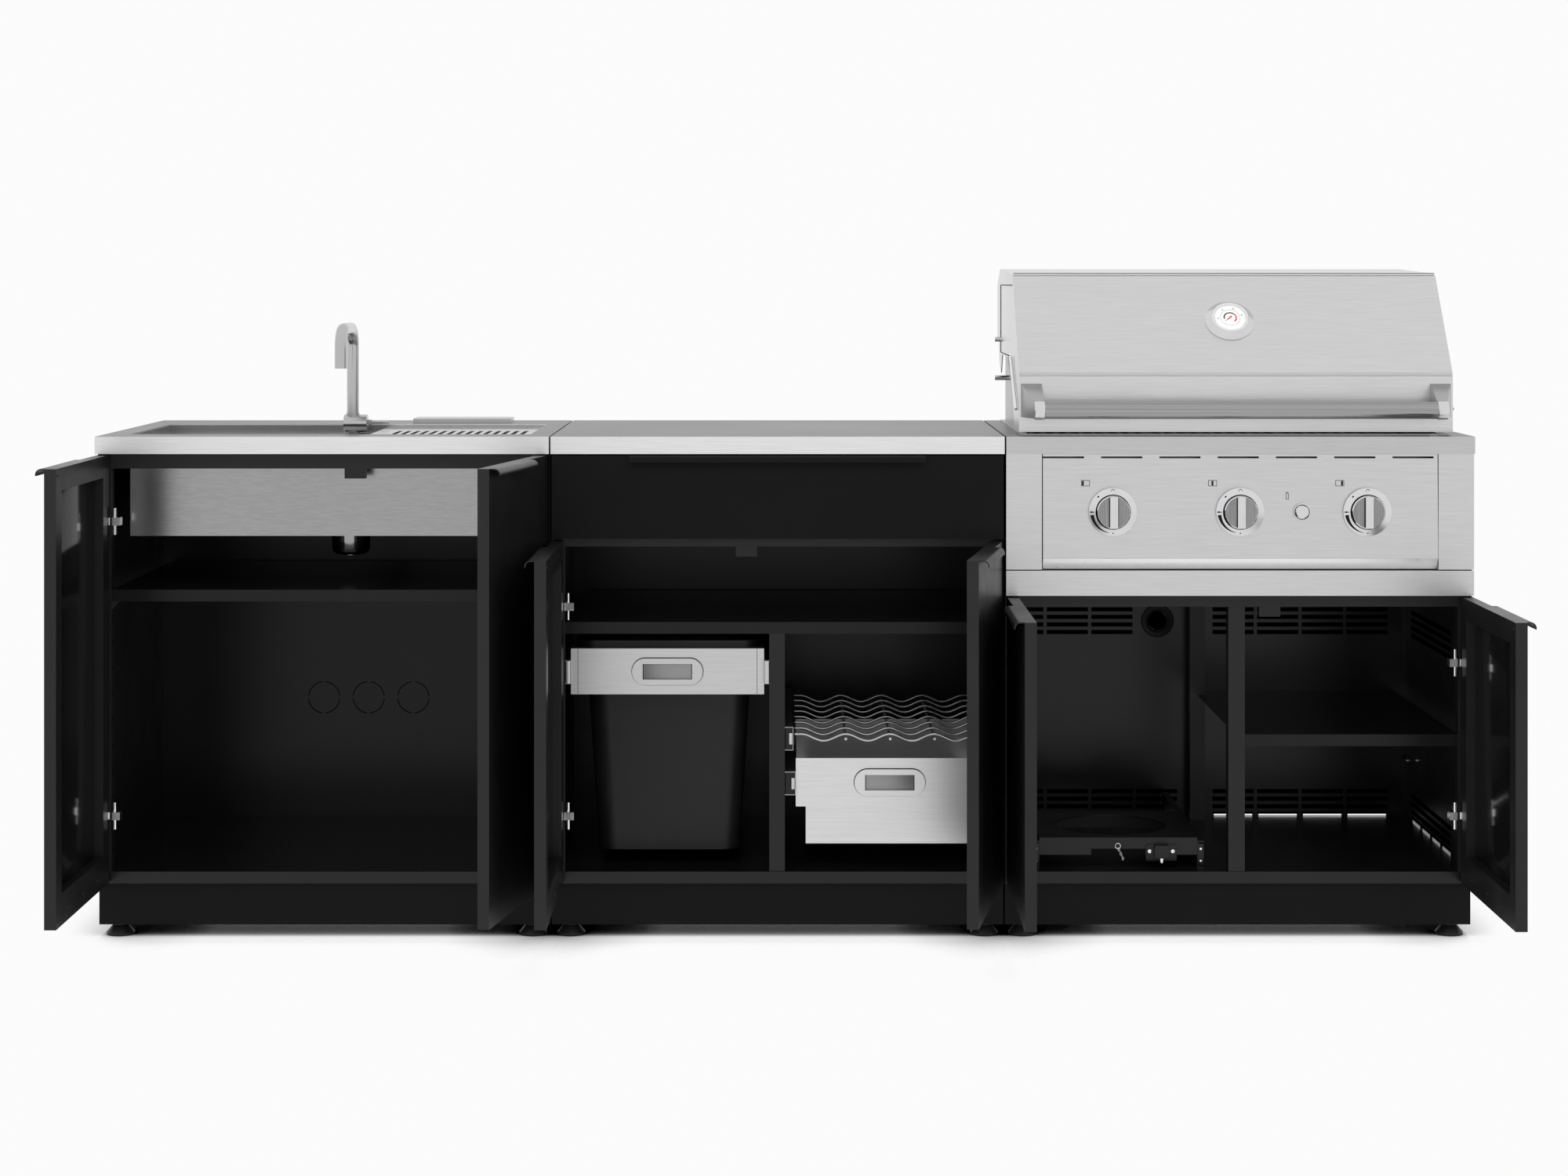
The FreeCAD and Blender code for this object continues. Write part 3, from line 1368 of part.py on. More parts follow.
def oval_pull(name, across, front, height):
    """A stadium-shaped pull with a finger recess, proud of a stainless front."""
    owner = body(name)
    half_long, half_high = s.pull_length / 2, s.pull_height / 2
    plan = sketch(owner, f"{name}_plan", "XZ_Plane")
    rectangle(plan, (-half_long, half_long), (-half_high, half_high))
    plate = pad(owner, plan, s.pull_proud)
    round_edges(owner, plate, half_high - s.seat, lambda middle, way: abs(way.y) > 0.99)
    inner_long, inner_high = s.pull_recess_length / 2, s.pull_recess_height / 2
    recess = rectangle(
        sketch(owner, f"{name}_recess", "XZ_Plane", s.steel),
        (-inner_long, inner_long),
        (-inner_high, inner_high),
    )
    pocket(owner, recess, s.pull_proud, back=True)
    return put(owner, across, deep(front), height)


def slide_rail(name, wall, drawer, middle, back):
    """A channel on the wall of a bay whose web faces the drawer that runs along it."""
    way = 1 if wall.number < drawer.number else -1
    half = s.slide_height / 2
    run = depths(s.shelf_front + s.panel, back)
    outer = block(f"{name}_outer", (wall, drawer), run, (middle - half, middle + half))
    hollow = block(
        f"{name}_hollow",
        (wall - way * s.steel, drawer - way * s.steel),
        depths(s.shelf_front, back + s.panel),
        (middle - half + s.steel, middle + half - s.steel),
    )
    return cut(name, outer, [hollow])


def bin_pull_out(slides):
    bay_left = CENTRE_LEFT + s.post_width
    bay_right = CENTRE_LEFT + DIVIDER_ACROSS - s.divider_width
    middle = (bay_left + bay_right) / 2
    left, right = middle - BIN_WIDTH / 2, middle + BIN_WIDTH / 2
    centre = (BIN_PANEL_BOTTOM + BIN_PANEL_TOP) / 2
    face = block(
        "bin_face",
        (left, right),
        depths(s.pull_front, s.pull_front + s.steel),
        (BIN_PANEL_BOTTOM, BIN_PANEL_TOP),
    )
    sides = [
        block(
            f"bin_side_{index}",
            (edge, edge + way * s.steel),
            depths(s.pull_front, BIN_FRAME_BACK),
            (BIN_PANEL_BOTTOM, BIN_PANEL_TOP),
        )
        for index, (edge, way) in enumerate(((left, 1), (right, -1)))
    ]
    back = block(
        "bin_back",
        (left, right),
        depths(BIN_FRAME_BACK - s.steel, BIN_FRAME_BACK),
        (BIN_PANEL_BOTTOM, BIN_PANEL_TOP),
    )
    bin_middle = (s.pull_front + BIN_FRAME_BACK) / 2
    deck = block(
        "bin_deck",
        (left, right),
        depths(s.pull_front, BIN_FRAME_BACK),
        (BIN_PANEL_TOP - s.steel, BIN_PANEL_TOP),
    )
    opening = block(
        "bin_opening",
        (middle - BIN_OPENING_WIDTH / 2, middle + BIN_OPENING_WIDTH / 2),
        depths(bin_middle - BIN_OPENING_DEPTH / 2, bin_middle + BIN_OPENING_DEPTH / 2),
        (BIN_PANEL_TOP - 2 * s.steel, BIN_PANEL_TOP + s.steel),
    )
    frame = cut("bin_deck_cut", join("bin_shell", [face, back, deck] + sides), [opening])
    pull = oval_pull("bin_pull", middle, s.pull_front, centre)
    node("bin_frame", join("bin_carrier", [frame, pull]))
    slides.append(slide_rail("bin_slide_left", bay_left, left - s.seat, centre, SLIDE_BACK))
    slides.append(slide_rail("bin_slide_right", bay_right, right + s.seat, centre, SLIDE_BACK))
    node("bin", tub("bin_tub", middle, deep(bin_middle)))


def tapered_tub(name, shrink, low, high):
    """A tub drawn from its mouth down; shrink is the wall that its hollow leaves."""
    owner = body(name)
    half_wide, half_deep = BIN_BODY_WIDTH / 2 - shrink, BIN_BODY_DEPTH / 2 - shrink
    mouth = rectangle(
        sketch(owner, f"{name}_mouth", "XY_Plane", high), (-half_wide, half_wide), (-half_deep, half_deep)
    )
    drop = pad(owner, mouth, high - low, back=True)
    drop.TaperAngle = -s.bin_taper.number
    bind(drop, "TaperAngle", -s.bin_taper)
    round_edges(owner, drop, s.bin_corner - shrink, lambda middle, way: abs(way.z) > 0.9)
    return owner


def tub(name, across, depth):
    outer = tapered_tub(f"{name}_outer", size(0), BIN_BOTTOM, BIN_RIM_TOP)
    inner = tapered_tub(f"{name}_inner", s.bin_wall, BIN_BOTTOM + s.bin_wall, BIN_RIM_TOP + s.bin_wall)
    rim = body(f"{name}_rim")
    half_wide, half_deep = BIN_RIM_WIDTH / 2, BIN_RIM_DEPTH / 2
    plan = rectangle(
        sketch(rim, f"{name}_rim_plan", "XY_Plane", BIN_PANEL_TOP),
        (-half_wide, half_wide),
        (-half_deep, half_deep),
    )
    ring = pad(rim, plan, BIN_RIM_TOP - BIN_PANEL_TOP)
    round_edges(rim, ring, s.bin_corner, lambda middle, way: abs(way.z) > 0.99)
    whole = cut(f"{name}_whole", join(f"{name}_solid", [outer, rim]), [inner])
    return put(whole, across, depth)


def wave_wire(name, left, right, crest, depth, height):
    """A wire bent into alternate arcs, with a crest over every rod and a valley for every bottle."""
    half, rise = s.rack_pitch.number / 4, s.rack_wave.number / 2
    radius = (half * half + rise * rise) / (2 * rise)
    start, end = left.number, right.number
    first = math.floor((start - crest.number) / (2 * half))
    last = math.ceil((end - crest.number) / (2 * half))
    edges = []
    for turn in range(first, last + 1):
        centre = crest.number + 2 * half * turn
        sign = 1 if turn % 2 == 0 else -1
        low, high = max(centre - half, start), min(centre + half, end)
        if high - low < 1:
            continue
        points = []
        for across in (low, (low + high) / 2, high):
            away = across - centre
            lift = math.sqrt(radius * radius - away * away) - (radius - rise)
            points.append(Vector(across, depth, height + sign * lift))
        edges.append(Part.Arc(*points).toShape())
    spine = Part.Wire(edges)
    slope = edges[0].tangentAt(edges[0].FirstParameter)
    ring = Part.makePolygon(hexagon(spine.Vertexes[0].Point, slope, s.rack_wire.number))
    item = doc.addObject("Part::Feature", name)
    item.Shape = spine.makePipeShell([ring], True, False)
    return item


def hexagon(centre, along, radius):
    """Six corners of a wire's section across its run, closed on the first."""
    side = Vector(0, 1, 0)
    up = along.cross(side).normalize()
    turns = [index * math.pi / 3 for index in range(7)]
    return [centre + side * (radius * math.cos(turn)) + up * (radius * math.sin(turn)) for turn in turns]


def wine_rack(slides):
    bay_left = CENTRE_LEFT + DIVIDER_ACROSS
    bay_right = CENTRE_RIGHT - s.post_width
    left = bay_left + s.rack_left
    right = left + RACK_WIDTH
    pieces = []
    for index, (edge, way) in enumerate(((left, 1), (right, -1))):
        bar = block(
            f"rack_bar_{index}",
            (edge, edge + way * s.rack_bar),
            depths(s.pull_front, RACK_BACK),
            (s.rack_height - s.rack_bar_height / 2, s.rack_height + s.rack_bar_height / 2),
        )
        pieces.append(bar)
    crest = left + s.rack_crest
    rod_height = s.rack_height + s.rack_wave / 2 - s.rack_wire - s.rack_rod
    for index in range(3):
        pieces.append(
            rod(
                f"rack_rod_{index}",
                "y",
                crest + index * s.rack_pitch,
                depths(s.pull_front, RACK_BACK),
                rod_height,
                s.rack_rod,
            )
        )
    count = int(s.rack_wires.number)
    first, last = s.pull_front.number + s.rack_rod.number, RACK_BACK.number - s.rack_rod.number
    for index in range(count):
        depth = FRONT.number + first + (last - first) * index / (count - 1)
        name = f"rack_wire_{index}"
        span = (left + s.rack_bar, right - s.rack_bar)
        pieces.append(wave_wire(name, *span, crest, depth, s.rack_height.number))
    node("wine_rack", group("rack_whole", pieces))
    slides.append(slide_rail("rack_slide_left", bay_left, left - s.seat, s.rack_height, SLIDE_BACK))
    slides.append(slide_rail("rack_slide_right", bay_right, right + s.seat, s.rack_height, SLIDE_BACK))


def cooler_drawer(slides):
    bay_left = CENTRE_LEFT + DIVIDER_ACROSS
    bay_right = CENTRE_RIGHT - s.post_width
    left = bay_left + s.cooler_left
    right = left + COOLER_WIDTH
    shell, hollow = [], []
    for label, inset, low, high in (
        ("upper", 0, s.cooler_step, s.cooler_top),
        ("lower", s.cooler_inset, s.cooler_bottom, s.cooler_step),
    ):
        ends = (left + inset, right - inset)
        run = (s.pull_front + inset, COOLER_BACK - inset)
        shell.append(block(f"cooler_{label}", ends, depths(*run), (low, high)))
        hollow.append(
            block(
                f"cooler_{label}_hollow",
                (ends[0] + s.steel, ends[1] - s.steel),
                depths(run[0] + s.steel, run[1] - s.steel),
                (low + s.steel, high + s.steel),
            )
        )
    tub_shell = cut("cooler_shell", join("cooler_solid", shell), [join("cooler_hollow", hollow)])
    middle = (left + right) / 2
    pull = oval_pull("cooler_pull", middle, s.pull_front, (s.cooler_step + s.cooler_top) / 2)
    node("cooler_drawer", join("cooler_whole", [tub_shell, pull]))
    centre = (s.cooler_step + s.cooler_top) / 2
    slides.append(slide_rail("cooler_slide_left", bay_left, left - s.seat, centre, SLIDE_BACK))
    slides.append(slide_rail("cooler_slide_right", bay_right, right + s.seat, centre, SLIDE_BACK))


def drawer_cabinet():
    slides = []
    top_drawer()
    middle = (DRAWER_BOX_BOTTOM + DRAWER_BOX_TOP) / 2
    left, right = CENTRE_LEFT + s.post_width, CENTRE_RIGHT - s.post_width
    slides.append(slide_rail("drawer_slide_left", left, left + s.slide_thickness, middle, SLIDE_BACK))
    slides.append(slide_rail("drawer_slide_right", right, right - s.slide_thickness, middle, SLIDE_BACK))
    bin_pull_out(slides)
    wine_rack(slides)
    cooler_drawer(slides)
    node("slides", group("all_slides", slides))


# Grill


def grill_frame():
    left, right = GRILL_LEFT, GRILL_RIGHT - s.grill_trim_inset
    face = depths(s.door_front, s.post_front)
    stiles = [
        block(f"stile_{index}", (edge, edge + way * s.stile_width), face, (APRON_TOP + s.panel, TOP_UNDER))
        for index, (edge, way) in enumerate(((left, 1), (right, -1)))
    ]
    hollows = [
        block(
            f"stile_hollow_{index}",
            (edge + way * s.panel, edge + way * (s.stile_width - s.panel)),
            depths(s.door_front + s.panel, s.post_front + s.panel),
            (APRON_TOP + 2 * s.panel, TOP_UNDER - s.panel),
        )
        for index, (edge, way) in enumerate(((left, 1), (right, -1)))
    ]
    apron = block("apron_block", (left, right), face, (APRON_BOTTOM, APRON_TOP))
    apron_hollow = block(
        "apron_hollow",
        (left + s.panel, right - s.panel),
        depths(s.door_front + s.panel, s.post_front + s.panel),
        (APRON_BOTTOM + s.panel, APRON_TOP - s.panel),
    )
    pieces = [
        cut(f"stile_fold_{index}", stile, [hollow])
        for index, (stile, hollow) in enumerate(zip(stiles, hollows))
    ]
    pieces.append(cut("apron_fold", apron, [apron_hollow]))
    node("grill_frame", group("grill_front_frame", pieces))


def control_panel():
    """A folded panel: a vented top bend, a leaning face and a lip turned back under it."""
    owner = body("control_sheet")
    top, thick = TOP_UNDER - s.seat, s.panel
    start, lean = s.door_front, s.panel_lean
    points = [
        (s.post_front, top),
        (start, top),
        (start - lean, PANEL_LIP_TOP),
        (start - lean + s.panel_lip_depth, PANEL_LIP_BOTTOM),
        (s.post_front, PANEL_LIP_BOTTOM),
        (s.post_front, PANEL_LIP_BOTTOM + thick),
        (start - lean + s.panel_lip_depth + thick, PANEL_LIP_BOTTOM + thick),
        (start - lean + thick, PANEL_LIP_TOP + thick),
        (start + thick, top - thick),
        (s.post_front, top - thick),
    ]
    pad(owner, outline(sketch(owner, "control_section", "YZ_Plane"), points), PANEL_RIGHT - PANEL_LEFT)
    dash = rectangle(
        sketch(owner, "control_dash", "XZ_Plane", -s.post_front + s.panel),
        (0, s.vent_dash_length),
        (top - 2 * thick - s.vent_dash_height, top - 2 * thick),
    )
    first = pocket(owner, dash, s.post_front, back=True)
    pattern = owner.newObject("PartDesign::LinearPattern", "control_dashes")
    pattern.Originals = [first]
    pattern.Direction = (dash, ["H_Axis"])
    pattern.Occurrences = int(s.vent_dash_count.number)
    bind(pattern, "Length", DASH_RUN)
    owner.Tip = pattern
    put(owner, PANEL_LEFT, FRONT)
    through = depths(s.door_front - 2 * s.panel_lean, s.post_front - s.panel)
    holes = [
        rod(f"stem_hole_{index}", "y", across, through, KNOB_HEIGHT, s.stem_hole)
        for index, across in enumerate(knob_places())
    ]
    holes.append(
        rod(
            "igniter_hole",
            "y",
            GRILL_MIDDLE + s.igniter_across,
            through,
            KNOB_HEIGHT,
            s.igniter_radius + s.seat,
        )
    )
    node("control_panel", cut("control_panel_drilled", owner, holes))


def knob_places():
    return [GRILL_MIDDLE + way * s.knob_pitch for way in (-1, 0, 1)]


def panel_face():
    """The depth of the controls, whose bezels just clear the leaning face at their lower edge."""
    top = TOP_UNDER - s.seat
    share = (top - KNOB_HEIGHT + s.bezel_radius) / (top - PANEL_LIP_TOP)
    return s.door_front - share * s.panel_lean + s.steel / 2 - s.pivot_fit


def bezels_and_knobs():
    face = place("panel_face", panel_face())
    rings = []
    for index, across in enumerate(knob_places()):
        ring = body(f"bezel_{index}")
        outline(
            sketch(ring, f"bezel_profile_{index}", "XY_Plane"),
            [
                (s.stem_hole, s.steel / 2),
                (s.stem_hole, -s.steel),
                (s.knob_radius + s.steel, -s.steel),
                (s.knob_radius + s.steel, -s.bezel_depth),
                (s.bezel_radius, -s.bezel_rise),
                (s.bezel_radius, s.steel / 2),
            ],
        )
        revolve(ring, ring.Group[-1])
        rings.append(put(ring, across, deep(face - s.steel), KNOB_HEIGHT))
    ring = body("igniter_ring_body")
    outline(
        sketch(ring, "igniter_profile", "XY_Plane"),
        [
            (s.igniter_radius + s.seat, s.steel / 2),
            (s.igniter_radius + s.seat, -s.panel),
            (s.igniter_ring, -s.panel),
            (s.igniter_ring, s.steel / 2),
        ],
    )
    revolve(ring, ring.Group[-1])
    rings.append(put(ring, GRILL_MIDDLE + s.igniter_across, deep(face - s.steel), KNOB_HEIGHT))
    node("knob_bezels", group("bezel_set", rings))
    for name, across in zip(("left_knob", "centre_knob", "right_knob"), knob_places()):
        knob(name, across, face - s.steel)
    button = body("igniter_cap")
    outline(
        sketch(button, "igniter_cap_profile", "XY_Plane"),
        [
            (0, s.post_front / 2),
            (s.igniter_radius / 2, s.post_front / 2),
            (s.igniter_radius / 2, s.panel),
            (s.igniter_radius, s.panel),
            (s.igniter_radius, -s.bezel_rise),
            (s.igniter_radius - s.steel, -s.bezel_rise - s.steel),
            (0, -s.bezel_rise - s.steel),
        ],
    )
    revolve(button, button.Group[-1])
    node("igniter_button", put(button, GRILL_MIDDLE + s.igniter_across, deep(face - s.steel), KNOB_HEIGHT))
    return face


def knob(name, across, face):
    """A turned cap with a raised grip bar, bored for its stem."""
    owner = body(f"{name}_body")
    back = -s.steel - s.seat
    front = back - s.knob_depth + s.grip_proud
    outline(
        sketch(owner, f"{name}_profile", "XY_Plane"),
        [
            (0, back),
            (s.knob_radius, back),
            (s.knob_radius, front + s.steel),
            (s.knob_radius - s.steel, front),
            (0, front),
        ],
    )
    revolve(owner, owner.Group[-1])
    half = s.grip_width / 2
    reach = s.knob_radius - s.panel
    grip = rectangle(sketch(owner, f"{name}_grip", "XZ_Plane", -front), (-half, half), (-reach, reach))
    pad(owner, grip, s.grip_proud)
    bore = circle(sketch(owner, f"{name}_bore", "XZ_Plane", -back), (0, 0), s.stem_radius + s.pivot_fit)
    pocket(owner, bore, s.knob_depth / 2, back=True)
    node(name, put(owner, across, deep(face), KNOB_HEIGHT))


def gas_parts(face):
    """The manifold with a valve and stem behind each knob, and the three burners."""
    manifold_deep = s.firebox_front - s.burner_radius
    pieces = [
        rod(
            "manifold_pipe",
            "x",
            (FIREBOX_LEFT, FIREBOX_RIGHT),
            deep(manifold_deep),
            KNOB_HEIGHT,
            s.manifold_radius,
        )
    ]
    for index, across in enumerate(knob_places()):
        half = s.manifold_radius + s.panel
        pieces.append(
            block(
                f"valve_{index}",
                (across - half, across + half),
                depths(s.post_front - 2 * s.panel, s.firebox_front),
                (KNOB_HEIGHT - half, KNOB_HEIGHT + half),
            )
        )
        tip = face - s.steel - s.steel - s.seat - s.knob_depth / 2 + s.panel
        stem = depths(tip, s.post_front - 2 * s.panel)
        pieces.append(rod(f"stem_{index}", "y", across, stem, KNOB_HEIGHT, s.stem_radius))
    node("gas_manifold", join("manifold_whole", pieces))
    burners = []
    for index, across in enumerate(knob_places()):
        burners.append(
            rod(
                f"burner_{index}",
                "y",
                across,
                depths(s.firebox_front + s.panel, FIREBOX_BACK - s.panel),
                BURNER_HEIGHT,
                s.burner_radius,
            )
        )
    node("burners", group("burner_set", burners))


def firebox_cheek(name, start):
    """An end wall that rises behind to carry the hood."""
    front, rim, top = s.firebox_front, s.grate_thickness, s.top_height
    heel = s.hood_heel
    owner = body(name)
    section = outline(
        sketch(owner, f"{name}_plan", "YZ_Plane"),
        [
            (front, FIREBOX_BOTTOM),
            (front, top),
            (front - rim, top),
            (front - rim, top + s.panel),
            (s.hood_cut_front, top + s.panel),
            (s.hood_cut_back, FIREBOX_CHEEK),
            (HOOD_PIVOT_DEEP - heel / 2, FIREBOX_CHEEK),
            (HOOD_PIVOT_DEEP - heel / 3, HOOD_PIVOT_HEIGHT + heel / 3),
            (HOOD_PIVOT_DEEP + heel / 3, HOOD_PIVOT_HEIGHT + heel / 3),
            (HOOD_PIVOT_DEEP + heel / 2, FIREBOX_CHEEK),
            (FIREBOX_BACK, FIREBOX_CHEEK),
            (FIREBOX_BACK, FIREBOX_BOTTOM),
        ],
    )
    pad(owner, section, s.panel)
    return put(owner, start, FRONT)


def firebox():
    """An open-topped box welded from sheet, hung in the worktop by its flange."""
    front, thick, rim, top = s.firebox_front, s.panel, s.grate_thickness, s.top_height
    inside = shrunk((FIREBOX_LEFT, FIREBOX_RIGHT), thick)
    foot = FIREBOX_BOTTOM + thick
    flange = [(front, top), (front - rim, top), (front - rim, top + thick), (front + thick, top + thick)]
    outlet = rod(
        "grease_outlet",
        "z",
        GRILL_MIDDLE,
        deep((front + FIREBOX_BACK) / 2),
        (FIREBOX_BOTTOM - thick, foot + thick),
        s.drain_hole,
    )
    floor = block("firebox_sheet", inside, depths(front, FIREBOX_BACK), (FIREBOX_BOTTOM, foot))
    pieces = [
        firebox_cheek("left_cheek", FIREBOX_LEFT),
        firebox_cheek("right_cheek", FIREBOX_RIGHT - thick),
        folded("firebox_front", inside, [(front, foot)] + flange + [(front + thick, foot)]),
        cut("firebox_floor", floor, [outlet]),
        block("firebox_rear", inside, depths(FIREBOX_BACK - thick, FIREBOX_BACK), (foot, FIREBOX_CHEEK)),
    ]
    flanges = (
        ((FIREBOX_LEFT - rim, FIREBOX_LEFT), (front - rim, FIREBOX_BACK + rim)),
        ((FIREBOX_RIGHT, FIREBOX_RIGHT + rim), (front - rim, FIREBOX_BACK + rim)),
        ((FIREBOX_LEFT, FIREBOX_RIGHT), (FIREBOX_BACK, FIREBOX_BACK + rim)),
    )
    for index, (across, run) in enumerate(flanges):
        pieces.append(block(f"firebox_flange_{index}", across, depths(*run), (top, top + thick)))
    for name, height in (("grate", GRATE_HEIGHT), ("tamer", TAMER_HEIGHT)):
        for side, start in (("front", front + thick), ("back", FIREBOX_BACK - thick - rim)):
            ledge = (height - thick, height)
            pieces.append(block(f"{name}_{side}_ledge", inside, depths(start, start + rim), ledge))
    node("firebox", group("firebox_sheets", pieces))
    tray_depth = (s.firebox_front + s.grate_thickness, FIREBOX_BACK - s.grate_thickness)
    high = (FIREBOX_BOTTOM - s.grease_depth, FIREBOX_BOTTOM)
    sides = (FIREBOX_LEFT + s.stile_width, FIREBOX_RIGHT - s.stile_width)
    node("grease_tray", pan("grease_pan", sides, depths(*tray_depth), high, s.panel))


def cooking_parts():
    inside = (FIREBOX_LEFT + s.panel, FIREBOX_RIGHT - s.panel)
    panel_width = (inside[1] - inside[0] - 4 * s.seat) / 3
    run = (s.firebox_front + s.panel + s.seat, FIREBOX_BACK - s.panel - s.seat)
    grates = []
    bars = int(s.grate_slots.number) + 1
    for index in range(3):
        left = inside[0] + s.seat + index * (panel_width + s.seat)
        plate = block(
            f"grate_{index}",
            (left, left + panel_width),
            depths(*run),
            (GRATE_HEIGHT, GRATE_HEIGHT + s.grate_thickness),
        )
        pitch = (panel_width - s.grate_thickness) / bars
        slots = [
            block(
                f"grate_{index}_slot_{slot}",
                (left + s.grate_thickness + slot * pitch, left + (slot + 1) * pitch),
                depths(run[0] + 2 * s.grate_thickness, run[1] - 2 * s.grate_thickness),
                (GRATE_HEIGHT - 1, GRATE_HEIGHT + s.grate_thickness + 1),
            )
            for slot in range(bars)
        ]
        grates.append(cut(f"grate_{index}_barred", plate, slots))
    node("cooking_grates", group("grate_set", grates))
    tents = []
    for index, across in enumerate(knob_places()):
        tent = body(f"tent_{index}")
        half, rise, thick = s.tamer_width / 2, s.tamer_rise, s.panel
        foot = half - 2 * thick
        section = outline(
            sketch(tent, f"tent_profile_{index}", "XZ_Plane"),
            [(-half, 0), (-foot, 0), (0, rise - thick), (foot, 0), (half, 0), (0, rise)],
        )
        pad(tent, section, run[1] - run[0], back=True)
        tents.append(put(tent, across, deep(run[0]), TAMER_HEIGHT))
    node("flame_tamers", group("tamer_set", tents))


def hood_outline(skin):
    """The side view of the hood, drawn in by skin at its front, top and tail."""
    front, crease = s.hood_front + skin, HOOD_CREASE - skin / 2
    slope_back, slope_top = s.hood_slope_back + skin / 2, HOOD_SLOPE_TOP - skin
    return [(front, crease), (slope_back, slope_top), (HOOD_TOP_BACK - skin / 4, HOOD_TOP - skin)]


def hood():
    heel_deep, heel_high = HOOD_PIVOT_DEEP, HOOD_PIVOT_HEIGHT
    outer = body("hood_outer")
    points = [(s.hood_front, HOOD_BOTTOM)] + hood_outline(size(0))
    points += [
        (CARCASS_BACK, HOOD_TAIL_TOP),
        (CARCASS_BACK, heel_high),
        (heel_deep + s.hood_heel, heel_high),
        (heel_deep + s.hood_heel * 0.7, heel_high - s.hood_heel * 0.7),
        (heel_deep, heel_high - s.hood_heel),
        (heel_deep - s.hood_heel / 2, HOOD_CUT_HEIGHT),
        (s.hood_cut_back, HOOD_CUT_HEIGHT),
        (s.hood_cut_front, HOOD_BOTTOM),
    ]
    solid = pad(outer, outline(sketch(outer, "hood_section", "YZ_Plane"), points), HOOD_RIGHT - HOOD_LEFT)
    crease, brow = HOOD_CREASE, HOOD_SLOPE_TOP
    round_edges(
        outer,
        solid,
        s.hood_bend,
        lambda middle, way: abs(way.x) > 0.99 and (near(middle.z, crease) or near(middle.z, brow)),
    )
    put(outer, HOOD_LEFT, FRONT)
    inner = body("hood_inner")
    thick = s.panel
    low = HOOD_BOTTOM - s.top_edge
    points = [(s.hood_front + thick, low)] + hood_outline(thick)
    points += [
        (CARCASS_BACK, HOOD_TAIL_TOP - thick),
        (CARCASS_BACK + s.top_edge, HOOD_TAIL_TOP - s.top_edge),
        (CARCASS_BACK + s.top_edge, low),
    ]
    hollow = pad(
        inner, outline(sketch(inner, "hood_hollow", "YZ_Plane"), points), HOOD_RIGHT - HOOD_LEFT - 2 * s.panel
    )
    inner_crease, inner_brow = HOOD_CREASE - thick / 2, HOOD_SLOPE_TOP - thick
    round_edges(
        inner,
        hollow,
        s.hood_bend - thick,
        lambda middle, way: abs(way.x) > 0.99
        and (near(middle.z, inner_crease) or near(middle.z, inner_brow)),
    )
    put(inner, HOOD_LEFT + s.panel, FRONT)
    bore = rod(
        "hood_pivot_bore",
        "x",
        (HOOD_LEFT - s.panel, HOOD_RIGHT + s.panel),
        deep(heel_deep),
        heel_high,
        s.hood_pin + s.pivot_fit,
    )
    node("hood", cut("hood_shell", cut("hood_hollowed", outer, [inner]), [bore]))
    pins = []
    rows = ((FIREBOX_LEFT, HOOD_LEFT, -1), (FIREBOX_RIGHT, HOOD_RIGHT, 1))
    for index, (cheek, side, way) in enumerate(rows):
        end = side + way * s.hood_pin_reach
        pins.append(rod(f"hood_pin_{index}", "x", (cheek, end), deep(heel_deep), heel_high, s.hood_pin))
        pins.append(
            rod(
                f"stop_pin_{index}",
                "x",
                (cheek, end),
                deep(heel_deep),
                heel_high - s.stop_pin_drop,
                s.hood_pin,
            )
        )
    node("hood_pins", group("hood_pin_set", pins))


def hood_handle():
    middle = (HOOD_LEFT + HOOD_RIGHT) / 2
    half = BAR_LENGTH / 2
    tube = rod("handle_tube", "x", (middle - half, middle + half), deep(s.bar_deep), BAR_HEIGHT, s.bar_radius)
    bore = rod(
        "handle_bore",
        "x",
        (middle - half + s.panel, middle + half - s.panel),
        deep(s.bar_deep),
        BAR_HEIGHT,
        s.bar_radius - s.panel,
    )
    pieces = [cut("handle_bar", tube, [bore])]
    for side, way in (("left", -1), ("right", 1)):
        end = middle + way * half
        tip = end + way * s.collar_length
        pieces.append(rod(f"collar_{side}", "x", (end, tip), deep(s.bar_deep), BAR_HEIGHT, s.collar_radius))
        owner = body(f"bracket_{side}")
        radius = s.collar_radius
        outline(
            sketch(owner, f"bracket_profile_{side}", "YZ_Plane"),
            [
                (s.bar_deep, BAR_HEIGHT - radius),
                (s.hood_front, BAR_HEIGHT - radius),
                (s.hood_front, BAR_HEIGHT + s.pull_height),
                (s.bar_deep, BAR_HEIGHT + radius),
            ],
        )
        pad(owner, owner.Group[-1], s.bracket_length)
        start = end if way > 0 else end - s.bracket_length
        pieces.append(put(owner, start, FRONT))
    node("hood_handle", join("handle_whole", pieces))


